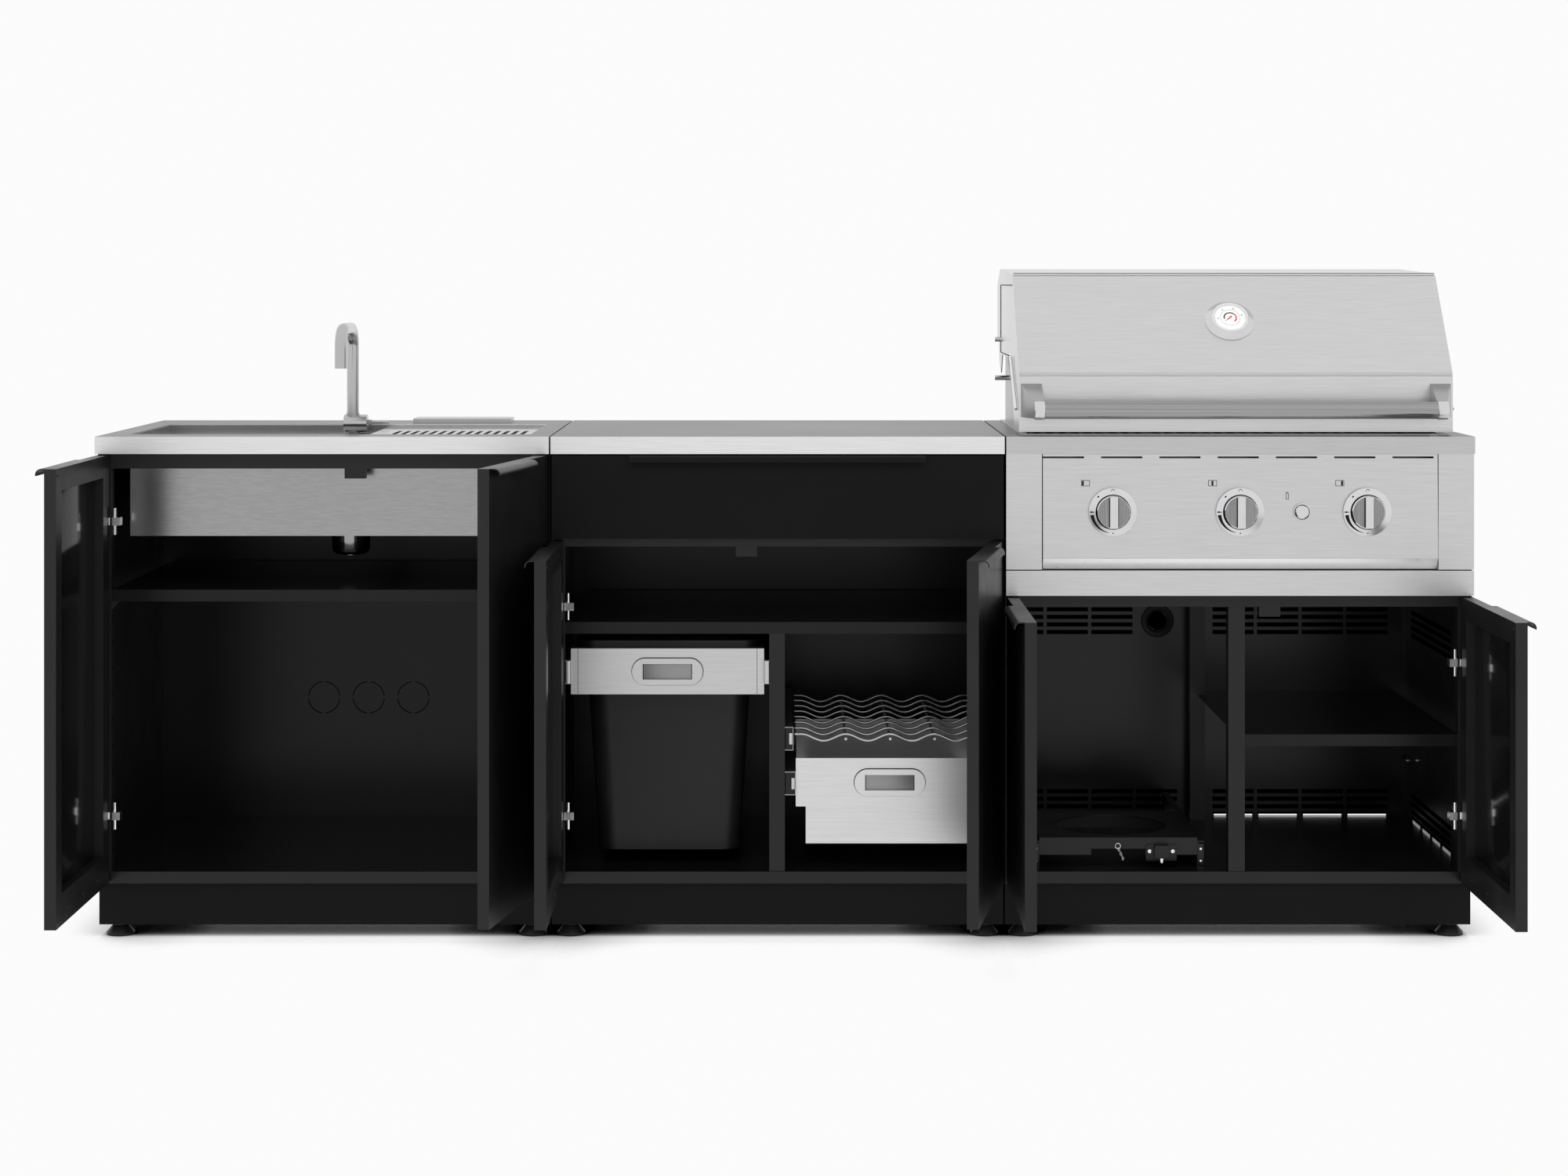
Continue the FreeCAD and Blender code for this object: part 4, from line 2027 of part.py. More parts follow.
def gauge():
    """A thermometer whose stepped case stands square on the sloping face of the hood."""
    owner = body("gauge_case")
    outline(
        sketch(owner, "gauge_profile", "XZ_Plane"),
        [
            (0, 0),
            (s.gauge_radius, 0),
            (s.gauge_radius, s.panel),
            (s.gauge_dial + s.panel, s.gauge_depth),
            (s.gauge_dial, s.gauge_depth),
            (s.gauge_dial, s.gauge_depth - s.panel),
            (0, s.gauge_depth - s.panel),
        ],
    )
    revolve(owner, owner.Group[-1])
    run = s.hood_slope_back - s.hood_front
    rise = HOOD_SLOPE_TOP - HOOD_CREASE
    tilt = Size(math.degrees(math.atan2(rise.number, run.number)), f"atan2({rise.text}; {run.text})")
    owner.Placement = Placement(Vector(), Rotation(Vector(1, 0, 0), tilt.number))
    bind(owner, "Placement.Rotation.Angle", tilt)
    put(
        owner,
        (HOOD_LEFT + HOOD_RIGHT) / 2,
        deep(s.hood_front + run * s.gauge_along),
        HOOD_CREASE + rise * s.gauge_along,
    )
    node("thermometer", owner)


def tank_tray():
    left = GRILL_LEFT + s.tank_left
    right = left + s.tank_width
    front, back = s.tank_front, s.tank_front + s.tank_depth
    high = (s.tank_top - s.tank_skirt, s.tank_top)
    plate = pan("tank_plate", (left, right), depths(front, back), high, s.panel, upturned=True)
    hole_deep = deep(front + s.tank_hole_deep)
    middle = (left + right) / 2
    hole = rod("tank_seat", "z", middle, hole_deep, (high[1] - 2 * s.panel, high[1] + s.panel), s.tank_hole)
    notch = block(
        "tank_finger_notch",
        (middle - s.tank_notch / 2, middle + s.tank_notch / 2),
        depths(front - s.panel, front + 2 * s.panel),
        (high[0] - s.panel, high[0] + s.tank_notch_height),
    )
    node("tank_tray", cut("tank_tray_cut", plate, [hole, notch]))
    rails_across = ((left - s.seat, -1), (right + s.seat, 1))
    pieces = []
    for index, (edge, way) in enumerate(rails_across):
        wall = block(
            f"tank_rail_{index}",
            (edge, edge + way * s.panel),
            depths(front, SHELF_BACK),
            (s.floor_height, s.tank_rail_top),
        )
        flange = block(
            f"tank_rail_foot_{index}",
            (edge, edge + way * s.tank_rail),
            depths(front, SHELF_BACK),
            (s.floor_height, s.floor_height + s.panel),
        )
        runner = block(
            f"tank_runner_{index}",
            (edge, edge + way * s.tank_rail),
            depths(front, SHELF_BACK),
            (s.tank_rail_top - s.panel, s.tank_rail_top),
        )
        pieces.append(join(f"tank_slide_{index}", [wall, flange, runner]))
    node("tank_rails", group("tank_rail_pair", pieces))


def grill():
    grill_frame()
    control_panel()
    face = bezels_and_knobs()
    gas_parts(face)
    firebox()
    cooking_parts()
    hood()
    hood_handle()
    gauge()
    tank_tray()


def check():
    """Stops on any failed object, empty shape or pocket that cuts nothing."""
    for item in doc.Objects:
        if {"Invalid", "Error"} & set(item.State):
            raise RuntimeError(f"{item.Name} is {item.State}")
        if item.isDerivedFrom("PartDesign::Pocket") and item.BaseFeature.Shape.Volume - item.Shape.Volume < 1:
            raise RuntimeError(f"{item.Name} cuts nothing")
    for name, item in NODES.items():
        if item.Shape.isNull() or not item.Shape.isValid():
            raise RuntimeError(f"{name} has no valid shape")


carcass_sides()
backs()
floors_and_kicks()
feet()
rails()
shelves()
partitions()
worktops()
doors()
catches()
sink()
faucet()
drawer_cabinet()
grill()
doc.recompute()
check()
os.makedirs("parts", exist_ok=True)
for name, item in NODES.items():
    item.Shape.exportStep(f"parts/{name}.step")
print(len(NODES), "sub-parts written")
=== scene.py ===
import math

import bmesh
import bpy
from mathutils import Matrix, Vector


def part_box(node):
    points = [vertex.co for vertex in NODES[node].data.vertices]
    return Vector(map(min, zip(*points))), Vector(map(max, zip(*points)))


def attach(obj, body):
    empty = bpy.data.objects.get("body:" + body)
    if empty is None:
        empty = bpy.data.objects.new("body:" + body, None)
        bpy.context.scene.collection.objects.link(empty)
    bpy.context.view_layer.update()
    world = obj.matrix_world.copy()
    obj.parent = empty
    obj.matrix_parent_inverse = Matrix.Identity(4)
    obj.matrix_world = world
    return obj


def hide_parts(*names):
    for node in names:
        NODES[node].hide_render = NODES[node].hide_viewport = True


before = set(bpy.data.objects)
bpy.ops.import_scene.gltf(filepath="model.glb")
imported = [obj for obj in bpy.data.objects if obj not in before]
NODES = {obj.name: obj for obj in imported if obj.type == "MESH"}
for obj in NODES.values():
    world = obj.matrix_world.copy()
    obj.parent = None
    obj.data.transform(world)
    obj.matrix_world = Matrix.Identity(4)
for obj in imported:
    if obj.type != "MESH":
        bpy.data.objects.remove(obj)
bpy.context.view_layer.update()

# Lengths are in metres: X to the right, depth back from the worktops' front plane, height from the floor
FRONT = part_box("centre_top")[0][1]
BASIN_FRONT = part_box("basin")[0][1]
RIGHT, BACK, UP = Vector((1, 0, 0)), Vector((0, 1, 0)), Vector((0, 0, 1))


def deep(depth):
    """The Y of a depth behind the worktops' front plane."""
    return FRONT + depth


# Node trees

# Places of the Mix node's numbers, colours and mixed colour among its sockets
NUMBER_A, NUMBER_B = 2, 3
COLOUR_A, COLOUR_B = 6, 7
COLOUR_OUT = 2

# A noise's usual values, and the depth of the grain that is drawn by bump
NOISE_SPAN = (0.3, 0.7)
GRAIN_DEPTH = 0.0001


def tree(name):
    """A new material with its nodes, its links and its shader."""
    material = bpy.data.materials.new(name)
    material.use_nodes = True
    nodes = material.node_tree.nodes
    return material, nodes, material.node_tree.links, nodes["Principled BSDF"]


def wire(links, start, output, end, socket):
    links.new(start.outputs[output], end.inputs[socket])


def stretched_noise(nodes, links, scale, detail):
    """Noise in the object's frame, drawn out along the axes that have a small scale."""
    place = nodes.new("ShaderNodeTexCoord")
    mapping = nodes.new("ShaderNodeMapping")
    mapping.inputs["Scale"].default_value = scale
    noise = nodes.new("ShaderNodeTexNoise")
    noise.inputs["Scale"].default_value = 1.0
    noise.inputs["Detail"].default_value = detail
    noise.inputs["Roughness"].default_value = 0.6
    wire(links, place, "Object", mapping, "Vector")
    wire(links, mapping, "Vector", noise, "Vector")
    return noise


def ranged(nodes, links, source, output, span, ends, smooth=False):
    """Maps a value from one span to another."""
    ramp = nodes.new("ShaderNodeMapRange")
    if smooth:
        ramp.interpolation_type = "SMOOTHSTEP"
    for name, value in zip(("From Min", "From Max", "To Min", "To Max"), (*span, *ends)):
        ramp.inputs[name].default_value = value
    wire(links, source, output, ramp, "Value")
    return ramp


def clouded(nodes, links, shader, noise, dark, light, rough_ends, rough_noise):
    """Lets one noise vary the colour from dark to light, and another the roughness."""
    factor = ranged(nodes, links, noise, "Fac", NOISE_SPAN, (0.0, 1.0))
    mix = nodes.new("ShaderNodeMix")
    mix.data_type = "RGBA"
    mix.inputs[COLOUR_A].default_value = (*dark, 1)
    mix.inputs[COLOUR_B].default_value = (*light, 1)
    wire(links, factor, "Result", mix, "Factor")
    links.new(mix.outputs[COLOUR_OUT], shader.inputs["Base Color"])
    rough_map = ranged(nodes, links, rough_noise, "Fac", NOISE_SPAN, rough_ends)
    wire(links, rough_map, "Result", shader, "Roughness")


def bumped(nodes, links, shader, source, strength):
    """Fine relief from a noise."""
    bump = nodes.new("ShaderNodeBump")
    bump.inputs["Strength"].default_value = strength
    bump.inputs["Distance"].default_value = GRAIN_DEPTH
    wire(links, source, "Fac", bump, "Height")
    wire(links, bump, "Normal", shader, "Normal")


def scaled(shade, share):
    """A colour times a share, kept within white."""
    return tuple(min(1.0, value * share) for value in shade)


def brushed(name, shade, rough, along="x", grain=520.0, length=14.0, bump=0.05, tone=0.05):
    """Steel with short fine streaks along one axis."""
    material, nodes, links, shader = tree(name)
    clouds_scale, rough_spread = (2.0, 2.0, 2.0), 0.04
    scale = tuple(length if axis == along else grain for axis in "xyz")
    streaks = stretched_noise(nodes, links, scale, detail=2.0)
    clouds = stretched_noise(nodes, links, clouds_scale, detail=1.0)
    dark, light = scaled(shade, 1 - tone), scaled(shade, 1 + tone)
    ends = (rough - rough_spread, rough + rough_spread)
    clouded(nodes, links, shader, streaks, dark, light, ends, clouds)
    shader.inputs["Metallic"].default_value = 1.0
    bumped(nodes, links, shader, streaks, bump)
    return material


def polished(name, shade, rough, metal=1.0):
    """Smooth metal with faint smears."""
    material, nodes, links, shader = tree(name)
    smear_scale, dark_share, rough_shares = (40.0, 40.0, 40.0), 0.94, (0.8, 1.25)
    shader.inputs["Metallic"].default_value = metal
    smear = stretched_noise(nodes, links, smear_scale, detail=3.0)
    ends = tuple(rough * share for share in rough_shares)
    clouded(nodes, links, shader, smear, scaled(shade, dark_share), shade, ends, smear)
    return material


def coated(name, shade, rough, specular=0.3, grain=1400.0, bump=0.15, spread=0.05):
    """Powder coat or moulded plastic: dark, with a fine orange-peel texture."""
    material, nodes, links, shader = tree(name)
    clouds_scale, dark_share, light_share = (9.0, 9.0, 9.0), 0.85, 1.15
    peel = stretched_noise(nodes, links, (grain, grain, grain), detail=2.0)
    clouds = stretched_noise(nodes, links, clouds_scale, detail=3.0)
    dark, light = scaled(shade, dark_share), scaled(shade, light_share)
    clouded(nodes, links, shader, clouds, dark, light, (rough - spread, rough + spread), clouds)
    shader.inputs["Specular IOR Level"].default_value = specular
    bumped(nodes, links, shader, peel, bump)
    return material


def painted_shade(material, output, axis, span, share):
    """Paints shade into a material: darkens its colour by a share where a coordinate or a normal goes
    through a span.
    """
    nodes, links = material.node_tree.nodes, material.node_tree.links
    shader = nodes["Principled BSDF"]
    base = shader.inputs["Base Color"].links[0].from_socket
    place = nodes.new("ShaderNodeTexCoord")
    split = nodes.new("ShaderNodeSeparateXYZ")
    wire(links, place, output, split, "Vector")
    amount = ranged(nodes, links, split, axis, span, (0.0, 1.0))
    mix = nodes.new("ShaderNodeMix")
    mix.data_type = "RGBA"
    mix.blend_type = "MULTIPLY"
    mix.inputs[COLOUR_B].default_value = (share, share, share, 1)
    wire(links, amount, "Result", mix, "Factor")
    links.new(base, mix.inputs[COLOUR_A])
    links.new(mix.outputs[COLOUR_OUT], shader.inputs["Base Color"])


# Materials, each with its colour and its roughness

TOP = brushed("steel_worktop", (0.75, 0.75, 0.755), 0.30)
GRILL_TOP = brushed("steel_grill_top", (0.52, 0.52, 0.525), 0.32)
FACE = brushed("steel_face", (0.59, 0.59, 0.595), 0.34)
HOOD = brushed("steel_hood", (0.63, 0.63, 0.635), 0.30)
COVER = brushed("steel_cover", (0.55, 0.55, 0.555), 0.36)
BOWL = brushed("steel_bowl", (0.46, 0.46, 0.465), 0.2, grain=650.0, length=45.0, bump=0.06, tone=0.08)
INNER = brushed("steel_inner", (0.42, 0.42, 0.425), 0.36)
SATIN = brushed("steel_satin", (0.55, 0.55, 0.55), 0.32)
PALE = brushed("steel_pale", (0.66, 0.66, 0.66), 0.28)
# Dark steel for painted shade: the line along the hood's top fold and the plates over the pulls' recesses
SHADE_STEEL = brushed("steel_painted_shade", (0.30, 0.30, 0.30), 0.4)
BAR = brushed("steel_bar", (0.33, 0.33, 0.335), 0.14, grain=330.0, length=0.5, tone=0.24)
SCOOP = brushed("steel_scoop", (0.27, 0.27, 0.275), 0.25, along="z", grain=420.0, length=6.0, tone=0.2)
BRIGHT = polished("steel_polished", (0.68, 0.68, 0.69), 0.14)
BEZEL = polished("steel_bezel", (0.72, 0.72, 0.73), 0.3)
TAP = polished("steel_tap", (0.50, 0.50, 0.505), 0.2)
# Near-white, partly diffuse steel for the panel lip: a painted reflection of the white floor
PAINTED_LIP_REFLECTION = polished("steel_lip_painted_reflection", (0.97, 0.97, 0.97), 0.34, metal=0.6)
DRAIN = polished("steel_drain", (0.34, 0.34, 0.34), 0.12)
WIRES = polished("steel_wire", (0.48, 0.48, 0.48), 0.25)
HINGE = polished("steel_hinge", (0.90, 0.90, 0.89), 0.14)
CHROME = polished("chrome", (0.82, 0.82, 0.83), 0.08)

INSIDE = {"bump": 0.015, "spread": 0.01}
BLACK = coated("black_coat", (0.0080, 0.0082, 0.0090), 0.36, bump=0.05)
BLACK_IN = coated("black_coat_inside", (0.0062, 0.0064, 0.0072), 0.22, specular=0.28, **INSIDE)
SHELF = coated("black_coat_shelf", (0.0045, 0.0047, 0.0052), 0.24, specular=0.22, **INSIDE)
BLACK_MATT = coated("black_coat_matt", (0.0052, 0.0053, 0.0056), 0.5, specular=0.09, bump=0.05)
BLACK_SHEEN = coated("black_coat_sheen", (0.006, 0.0062, 0.007), 0.12, specular=0.4, bump=0.01, spread=0.01)
PLASTIC = coated("black_plastic", (0.008, 0.008, 0.008), 0.42, bump=0.1, grain=2200.0)
# Near-black without gloss: dark gaps and joints, and painted shade in the vent slots, the hose hole and the
# pulls' recesses
GAP_AND_SHADE = coated("dark_gap_and_painted_shade", (0.0006, 0.0006, 0.0006), 0.9, specular=0.0, bump=0.02)
IRON = coated("cast_iron", (0.02, 0.02, 0.02), 0.6, bump=0.6, grain=500.0)
WHITE = coated("white_plastic", (0.62, 0.62, 0.60), 0.4)
INK = coated("printed_ink", (0.012, 0.012, 0.012), 0.5, specular=0.1)
RED = coated("red_ink", (0.55, 0.03, 0.04), 0.4)
DIAL = coated("dial_white", (0.82, 0.82, 0.81), 0.5)

# Painted shade: the worktops are darker where they face up, and the basin where its walls stand behind its
# rim
PAINTED_SHADE_FACING_UP = (0.7, 0.95)
PAINTED_SHADE_BASIN_FRONT = (BASIN_FRONT + 0.024, BASIN_FRONT + 0.02)
painted_shade(TOP, "Normal", "Z", PAINTED_SHADE_FACING_UP, 0.56)
painted_shade(GRILL_TOP, "Normal", "Z", PAINTED_SHADE_FACING_UP, 0.8)
for sheet in (TOP, GRILL_TOP):
    edge_tint = sheet.node_tree.nodes["Principled BSDF"].inputs["Specular Tint"]
    edge_tint.default_value = (0.5, 0.5, 0.5, 1)
# Painted shade: the basin's colour is darker within about 2 cm of its front
painted_shade(BOWL, "Object", "Y", PAINTED_SHADE_BASIN_FRONT, 0.72)

# The nodes that each material dresses, and every other node is black
LOOKS = {
    TOP: ("sink_top", "centre_top"),
    GRILL_TOP: ("grill_top",),
    COVER: ("deck_cover",),
    FACE: ("grill_frame", "control_panel"),
    HOOD: ("hood",),
    BOWL: ("basin",),
    INNER: ("firebox", "burners", "flame_tamers", "grease_tray", "slides", "gas_manifold"),
    SATIN: ("bin_frame", "drain_tray"),
    PALE: ("cooler_drawer",),
    TAP: ("faucet_body", "faucet_spout", "faucet_lever"),
    DRAIN: ("drain",),
    BAR: ("hood_handle",),
    HINGE: ("hinges",),
    BRIGHT: ("left_knob", "centre_knob", "right_knob", "thermometer", "igniter_button", "hood_pins"),
    BEZEL: ("knob_bezels",),
    WIRES: ("wine_rack",),
    IRON: ("cooking_grates",),
    PLASTIC: ("bin", "feet", "door_catches"),
    BLACK_MATT: ("top_drawer", "toe_kicks"),
    SHELF: ("sink_shelf", "centre_shelf", "grill_shelf", "sink_back", "centre_back"),
    BLACK_IN: ("floor_panels", "grill_back"),
}
EDGE_WIDTH = 0.0005
EDGE_ANGLE, SMOOTH_ANGLE = 40, 35


def dress_nodes():
    """Gives every CAD node its material and a fine rounded edge that catches the light."""
    looks = {name: material for material, names in LOOKS.items() for name in names}
    for name, item in NODES.items():
        item.data.materials.clear()
        item.data.materials.append(looks.get(name, BLACK))
        bevel = item.modifiers.new("edge", "BEVEL")
        bevel.width = EDGE_WIDTH
        bevel.segments = 2
        bevel.limit_method = "ANGLE"
        bevel.angle_limit = math.radians(EDGE_ANGLE)
        bevel.harden_normals = True


# Ways to make a piece


def added(name, data):
    """A new object in the scene."""
    item = bpy.data.objects.new(name, data)
    bpy.context.scene.collection.objects.link(item)
    return item


def piece(name, data, material, body):
    """A new piece of the part that rides on one of its bodies."""
    data.materials.append(material)
    item = added(name, data)
    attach(item, body)
    return item


def joined(name, parts, material, body="island", smooth=SMOOTH_ANGLE):
    """One piece out of several bmesh parts."""
    whole = bmesh.new()
    for part in parts:
        held = bpy.data.meshes.new("part")
        part.to_mesh(held)
        part.free()
        whole.from_mesh(held)
        bpy.data.meshes.remove(held)
    mesh = bpy.data.meshes.new(name)
    whole.to_mesh(mesh)
    whole.free()
    if smooth:
        mesh.shade_smooth()
        mesh.set_sharp_from_angle(angle=math.radians(smooth))
    return piece(name, mesh, material, body)


def slab(low, high, edge, matrix=None):
    """A block between two corners with rounded edges."""
    part = bmesh.new()
    bmesh.ops.create_cube(part, size=1.0)
    size = [b - a for a, b in zip(low, high)]
    middle = [(a + b) / 2 for a, b in zip(low, high)]
    bmesh.ops.scale(part, vec=size, verts=part.verts)
    bmesh.ops.translate(part, vec=middle, verts=part.verts)
    width = min(edge, min(size) * 0.45)
    bmesh.ops.bevel(part, geom=part.edges[:], offset=width, segments=2, affect="EDGES", profile=0.5)
    if matrix is not None:
        part.transform(matrix)
    return part


def lathe(profile, matrix, steps=48):
    """A profile of (radius, height) turned about local Z and set by a matrix."""
    part = bmesh.new()
    rings = []
    for radius, height in profile:
        count = steps if radius else 1
        turns = [2 * math.pi * step / steps for step in range(count)]
        points = [(radius * math.cos(turn), radius * math.sin(turn), height) for turn in turns]
        rings.append([part.verts.new(point) for point in points])
    for first, second in zip(rings, rings[1:]):
        for step in range(steps):
            follow = (step + 1) % steps
            if len(first) == 1:
                part.faces.new((first[0], second[step], second[follow]))
            elif len(second) == 1:
                part.faces.new((first[step], second[0], first[follow]))
            else:
                part.faces.new((first[step], second[step], second[follow], first[follow]))
    bmesh.ops.recalc_face_normals(part, faces=part.faces)
    part.transform(matrix)
    return part


def tube(name, runs, radius, material, body, closed=False, sides=4):
    """Round wire along one or more runs of points."""
    curve = bpy.data.curves.new(name, "CURVE")
    curve.dimensions = "3D"
    curve.bevel_depth = radius
    curve.bevel_resolution = sides
    curve.use_fill_caps = True
    for points in runs:
        spline = curve.splines.new("POLY")
        spline.points.add(len(points) - 1)
        for place, point in zip(spline.points, points):
            place.co = (*point, 1)
        spline.use_cyclic_u = closed
        spline.use_smooth = True
    return piece(name, curve, material, body)


def patch(points):
    """One flat face, for printed marks."""
    part = bmesh.new()
    part.faces.new([part.verts.new(point) for point in points])
    return part


def strip(first, second):
    """A ribbon of faces between two equal runs of points."""
    part = bmesh.new()
    rows = [(part.verts.new(a), part.verts.new(b)) for a, b in zip(first, second)]
    for near, far in zip(rows, rows[1:]):
        part.faces.new((near[0], far[0], far[1], near[1]))
    return part


def solid_of(near, far):
    """A closed block between two equal outlines, for plates and brackets."""
    part = bmesh.new()
    front = [part.verts.new(point) for point in near]
    back = [part.verts.new(point) for point in far]
    part.faces.new(front)
    part.faces.new(back)
    for step in range(len(front)):
        follow = (step + 1) % len(front)
        part.faces.new((front[step], front[follow], back[follow], back[step]))
    bmesh.ops.recalc_face_normals(part, faces=part.faces)
    return part


def facing(place, away):
    """A matrix that turns local Z to a direction at a place."""
    turn = Vector(away).normalized().to_track_quat("Z", "Y").to_matrix().to_4x4()
    return Matrix.Translation(place) @ turn


def evenly(low, high, steps):
    """Two ends and the even stops between them."""
    return [low + (high - low) * step / steps for step in range(steps + 1)]


def on_circle(centre, side, up, radius, degrees):
    """The point at an angle on a circle in the plane of two directions."""
    turn = math.radians(degrees)
    return centre + side * (radius * math.cos(turn)) + up * (radius * math.sin(turn))


def ring_of(centre, side, up, radius, count):
    """Points round a whole circle in the plane of two directions."""
    return [on_circle(centre, side, up, radius, 360 * step / count) for step in range(count)]


def screw(place, away, radius=0.003, height=0.0014):
    """A domed screw head with a round recess."""
    sunk = -0.0004
    profile = [
        (radius, sunk),
        (radius, height * 0.45),
        (radius * 0.8, height * 0.85),
        (radius * 0.45, height),
        (radius * 0.36, height * 0.35),
        (0, height * 0.3),
    ]
    return lathe(profile, facing(place, away), 20)


# Doors

# Each leaf's body, pivot, way to its free edge, opening angle, width and height
LEAVES = {
    "sink_left_door": ("sink_left_leaf", -1.222, 1, 90, 0.4025, 0.767),
    "sink_right_door": ("sink_right_leaf", -0.434, -1, 80, 0.4025, 0.767),
    "centre_left_door": ("centre_left_leaf", -0.407, 1, 90, 0.4025, 0.614),
    "centre_right_door": ("centre_right_leaf", 0.381, -1, 80, 0.4025, 0.614),
    "grill_left_door": ("grill_left_leaf", 0.408, 1, 90, 0.4155, 0.513),
    "grill_right_door": ("grill_right_leaf", 1.222, -1, 90, 0.4155, 0.513),
}
PIVOT_DEPTH, PIVOT_INSET = 0.012, 0.010
DOOR_BOTTOM = 0.101
# The leaf's back face and the sheet sunk in it, measured from the pivot
LEAF_BACK, SHEET_BACK = 0.010, -0.007
HINGE_STILE, FREE_STILE, LOWER_BORDER, UPPER_BORDER = 0.050, 0.040, 0.054, 0.038
SHEET_GAP, SHEET_SUNK, SHEET_PROUD, SHEET_EDGE = 0.0004, 0.0002, 0.0012, 0.0008
CORNER_SCREW, LOWER_SCREW_ROW, LOWER_SCREWS = 0.012, 0.022, (0.085, 0.20, 0.31)
DOOR_SCREW_RADIUS = 0.0018


def door_trim():
    """The sheet in the back of each leaf, a shade glossier than its frame, and its small dark screws."""
    for name, (body, across, way, angle, width, height) in LEAVES.items():
        turn = Matrix.Rotation(math.radians(-way * angle), 4, "Z")
        place = Matrix.Translation((across, deep(PIVOT_DEPTH), DOOR_BOTTOM)) @ turn
        free = width - PIVOT_INSET
        inner = way * (HINGE_STILE - PIVOT_INSET + SHEET_GAP)
        outer = way * (free - FREE_STILE - SHEET_GAP)
        low = (min(inner, outer), SHEET_BACK - SHEET_SUNK, LOWER_BORDER + SHEET_GAP)
        high = (max(inner, outer), SHEET_BACK + SHEET_PROUD, height - UPPER_BORDER - SHEET_GAP)
        sheet = slab(low, high, SHEET_EDGE, place)
        joined(f"{name}_panel", [sheet], BLACK_SHEEN, body)
        spots = [(free - CORNER_SCREW, height - CORNER_SCREW), (free - CORNER_SCREW, CORNER_SCREW)]
        spots += [(inward, LOWER_SCREW_ROW) for inward in LOWER_SCREWS]
        places = [place @ Vector((way * inward, LEAF_BACK, row)) for inward, row in spots]
        heads = [screw(spot, turn @ BACK, DOOR_SCREW_RADIUS) for spot in places]
        joined(f"{name}_screws", heads, PLASTIC, body)


# Grill controls

KNOBS = {
    "left_knob": ("knob_left", 0.5857),
    "centre_knob": ("knob_centre", 0.813),
    "right_knob": ("knob_right", 1.0403),
}
KNOB_HEIGHT = 0.7676
IGNITER_X, IGNITER_HEIGHT = 0.924, 0.7671
PANEL_LEFT, PANEL_RIGHT = 0.4611, 1.1674
# The panel's top edge and its depth there, its lip's two edges, and how far it leans out above the lip
PANEL_TOP, PANEL_DEPTH, PANEL_LIP, PANEL_LOW, PANEL_LEAN = 0.8704, 0.002, 0.6845, 0.6645, 0.005
PRINT_LIFT, PRINT_LINE = 0.00025, 0.0009


def panel_face(height):
    """The Y of the leaning control panel at a height."""
    share = (PANEL_TOP - height) / (PANEL_TOP - PANEL_LIP)
    return deep(PANEL_DEPTH - share * PANEL_LEAN)


def outline_strokes(x, z, width, height, line=PRINT_LINE):
    """The four lines of a printed rectangle, as (left, right, low, high)."""
    return [
        (x, x + width, z, z + line),
        (x, x + width, z + height - line, z + height),
        (x, x + line, z, z + height),
        (x + width - line, x + width, z, z + height),
    ]


def panel_marks():
    """A small plan of the burners over each knob, and a battery beside the igniter."""
    icon_left, icon_low, icon_width, icon_height = -0.0560, 0.0455, 0.0155, 0.0108
    bar_inset, bar_margin, bar_width, bar_step = PRINT_LINE * 1.4, PRINT_LINE * 1.5, 0.0036, 0.0044
    battery_left, battery_low, battery_width, battery_height = 0.8955, 0.022, 0.005, 0.0119
    cap_inset, cap_width, cap_sunk, cap_proud = 0.0015, 0.0020, 0.0004, 0.0011
    strokes = []
    for index, (_, across) in enumerate(KNOBS.values()):
        x, z = across + icon_left, KNOB_HEIGHT + icon_low
        strokes += outline_strokes(x, z, icon_width, icon_height)
        bar = x + bar_inset + index * bar_step
        strokes.append((bar, bar + bar_width, z + bar_margin, z + icon_height - bar_margin))
    x, z = battery_left, KNOB_HEIGHT + battery_low
    strokes += outline_strokes(x, z, battery_width, battery_height)
    cap, top = x + cap_inset, z + battery_height
    strokes.append((cap, cap + cap_width, top - cap_sunk, top + cap_proud))
    parts = []
    for left, right, low, high in strokes:
        corners = ((left, low), (right, low), (right, high), (left, high))
        parts.append(patch([(x, panel_face(z) - PRINT_LIFT, z) for x, z in corners]))
    joined("panel_icons", parts, INK, smooth=0)


def bezel_marks():
    """Off mark, flames and a tapering arc printed on the sloping ring round each knob."""
    inner, outer, front, slope = 0.0315, 0.043, -0.0121, 0.0040
    middle, near, far = 0.0378, 0.0350, 0.0404
    # Angle, distance from the knob's axis and size: a spark, a large flame of three, and a small flame
    dots = [(134, middle, 0.0018), (180, near, 0.0013), (180, middle, 0.0017)]
    dots += [(180, far, 0.0013), (270, middle, 0.0012)]
    off_turn, off_outer, off_inner = 90, 0.0034, 0.0027
    arc_turns, arc_halves = evenly(188, 258, 14), evenly(0.0032, 0.0002, 14)
    parts = []
    for _, across in KNOBS.values():

        def spot(degrees, radius):
            depth = front + (radius - inner) / (outer - inner) * slope
            return on_circle(Vector((across, deep(depth), KNOB_HEIGHT)), RIGHT, UP, radius, degrees)

        for degrees, radius, size in dots:
            parts.append(patch(ring_of(spot(degrees, radius), RIGHT, UP, size, 16)))
        off = spot(off_turn, middle)
        parts.append(strip(*(ring_of(off, RIGHT, UP, size, 17) for size in (off_outer, off_inner))))
        arc = list(zip(arc_turns, arc_halves))
        edges = ([spot(turn, middle + way * half) for turn, half in arc] for way in (1, -1))
        parts.append(strip(*edges))
    joined("bezel_marks", parts, INK, smooth=0)


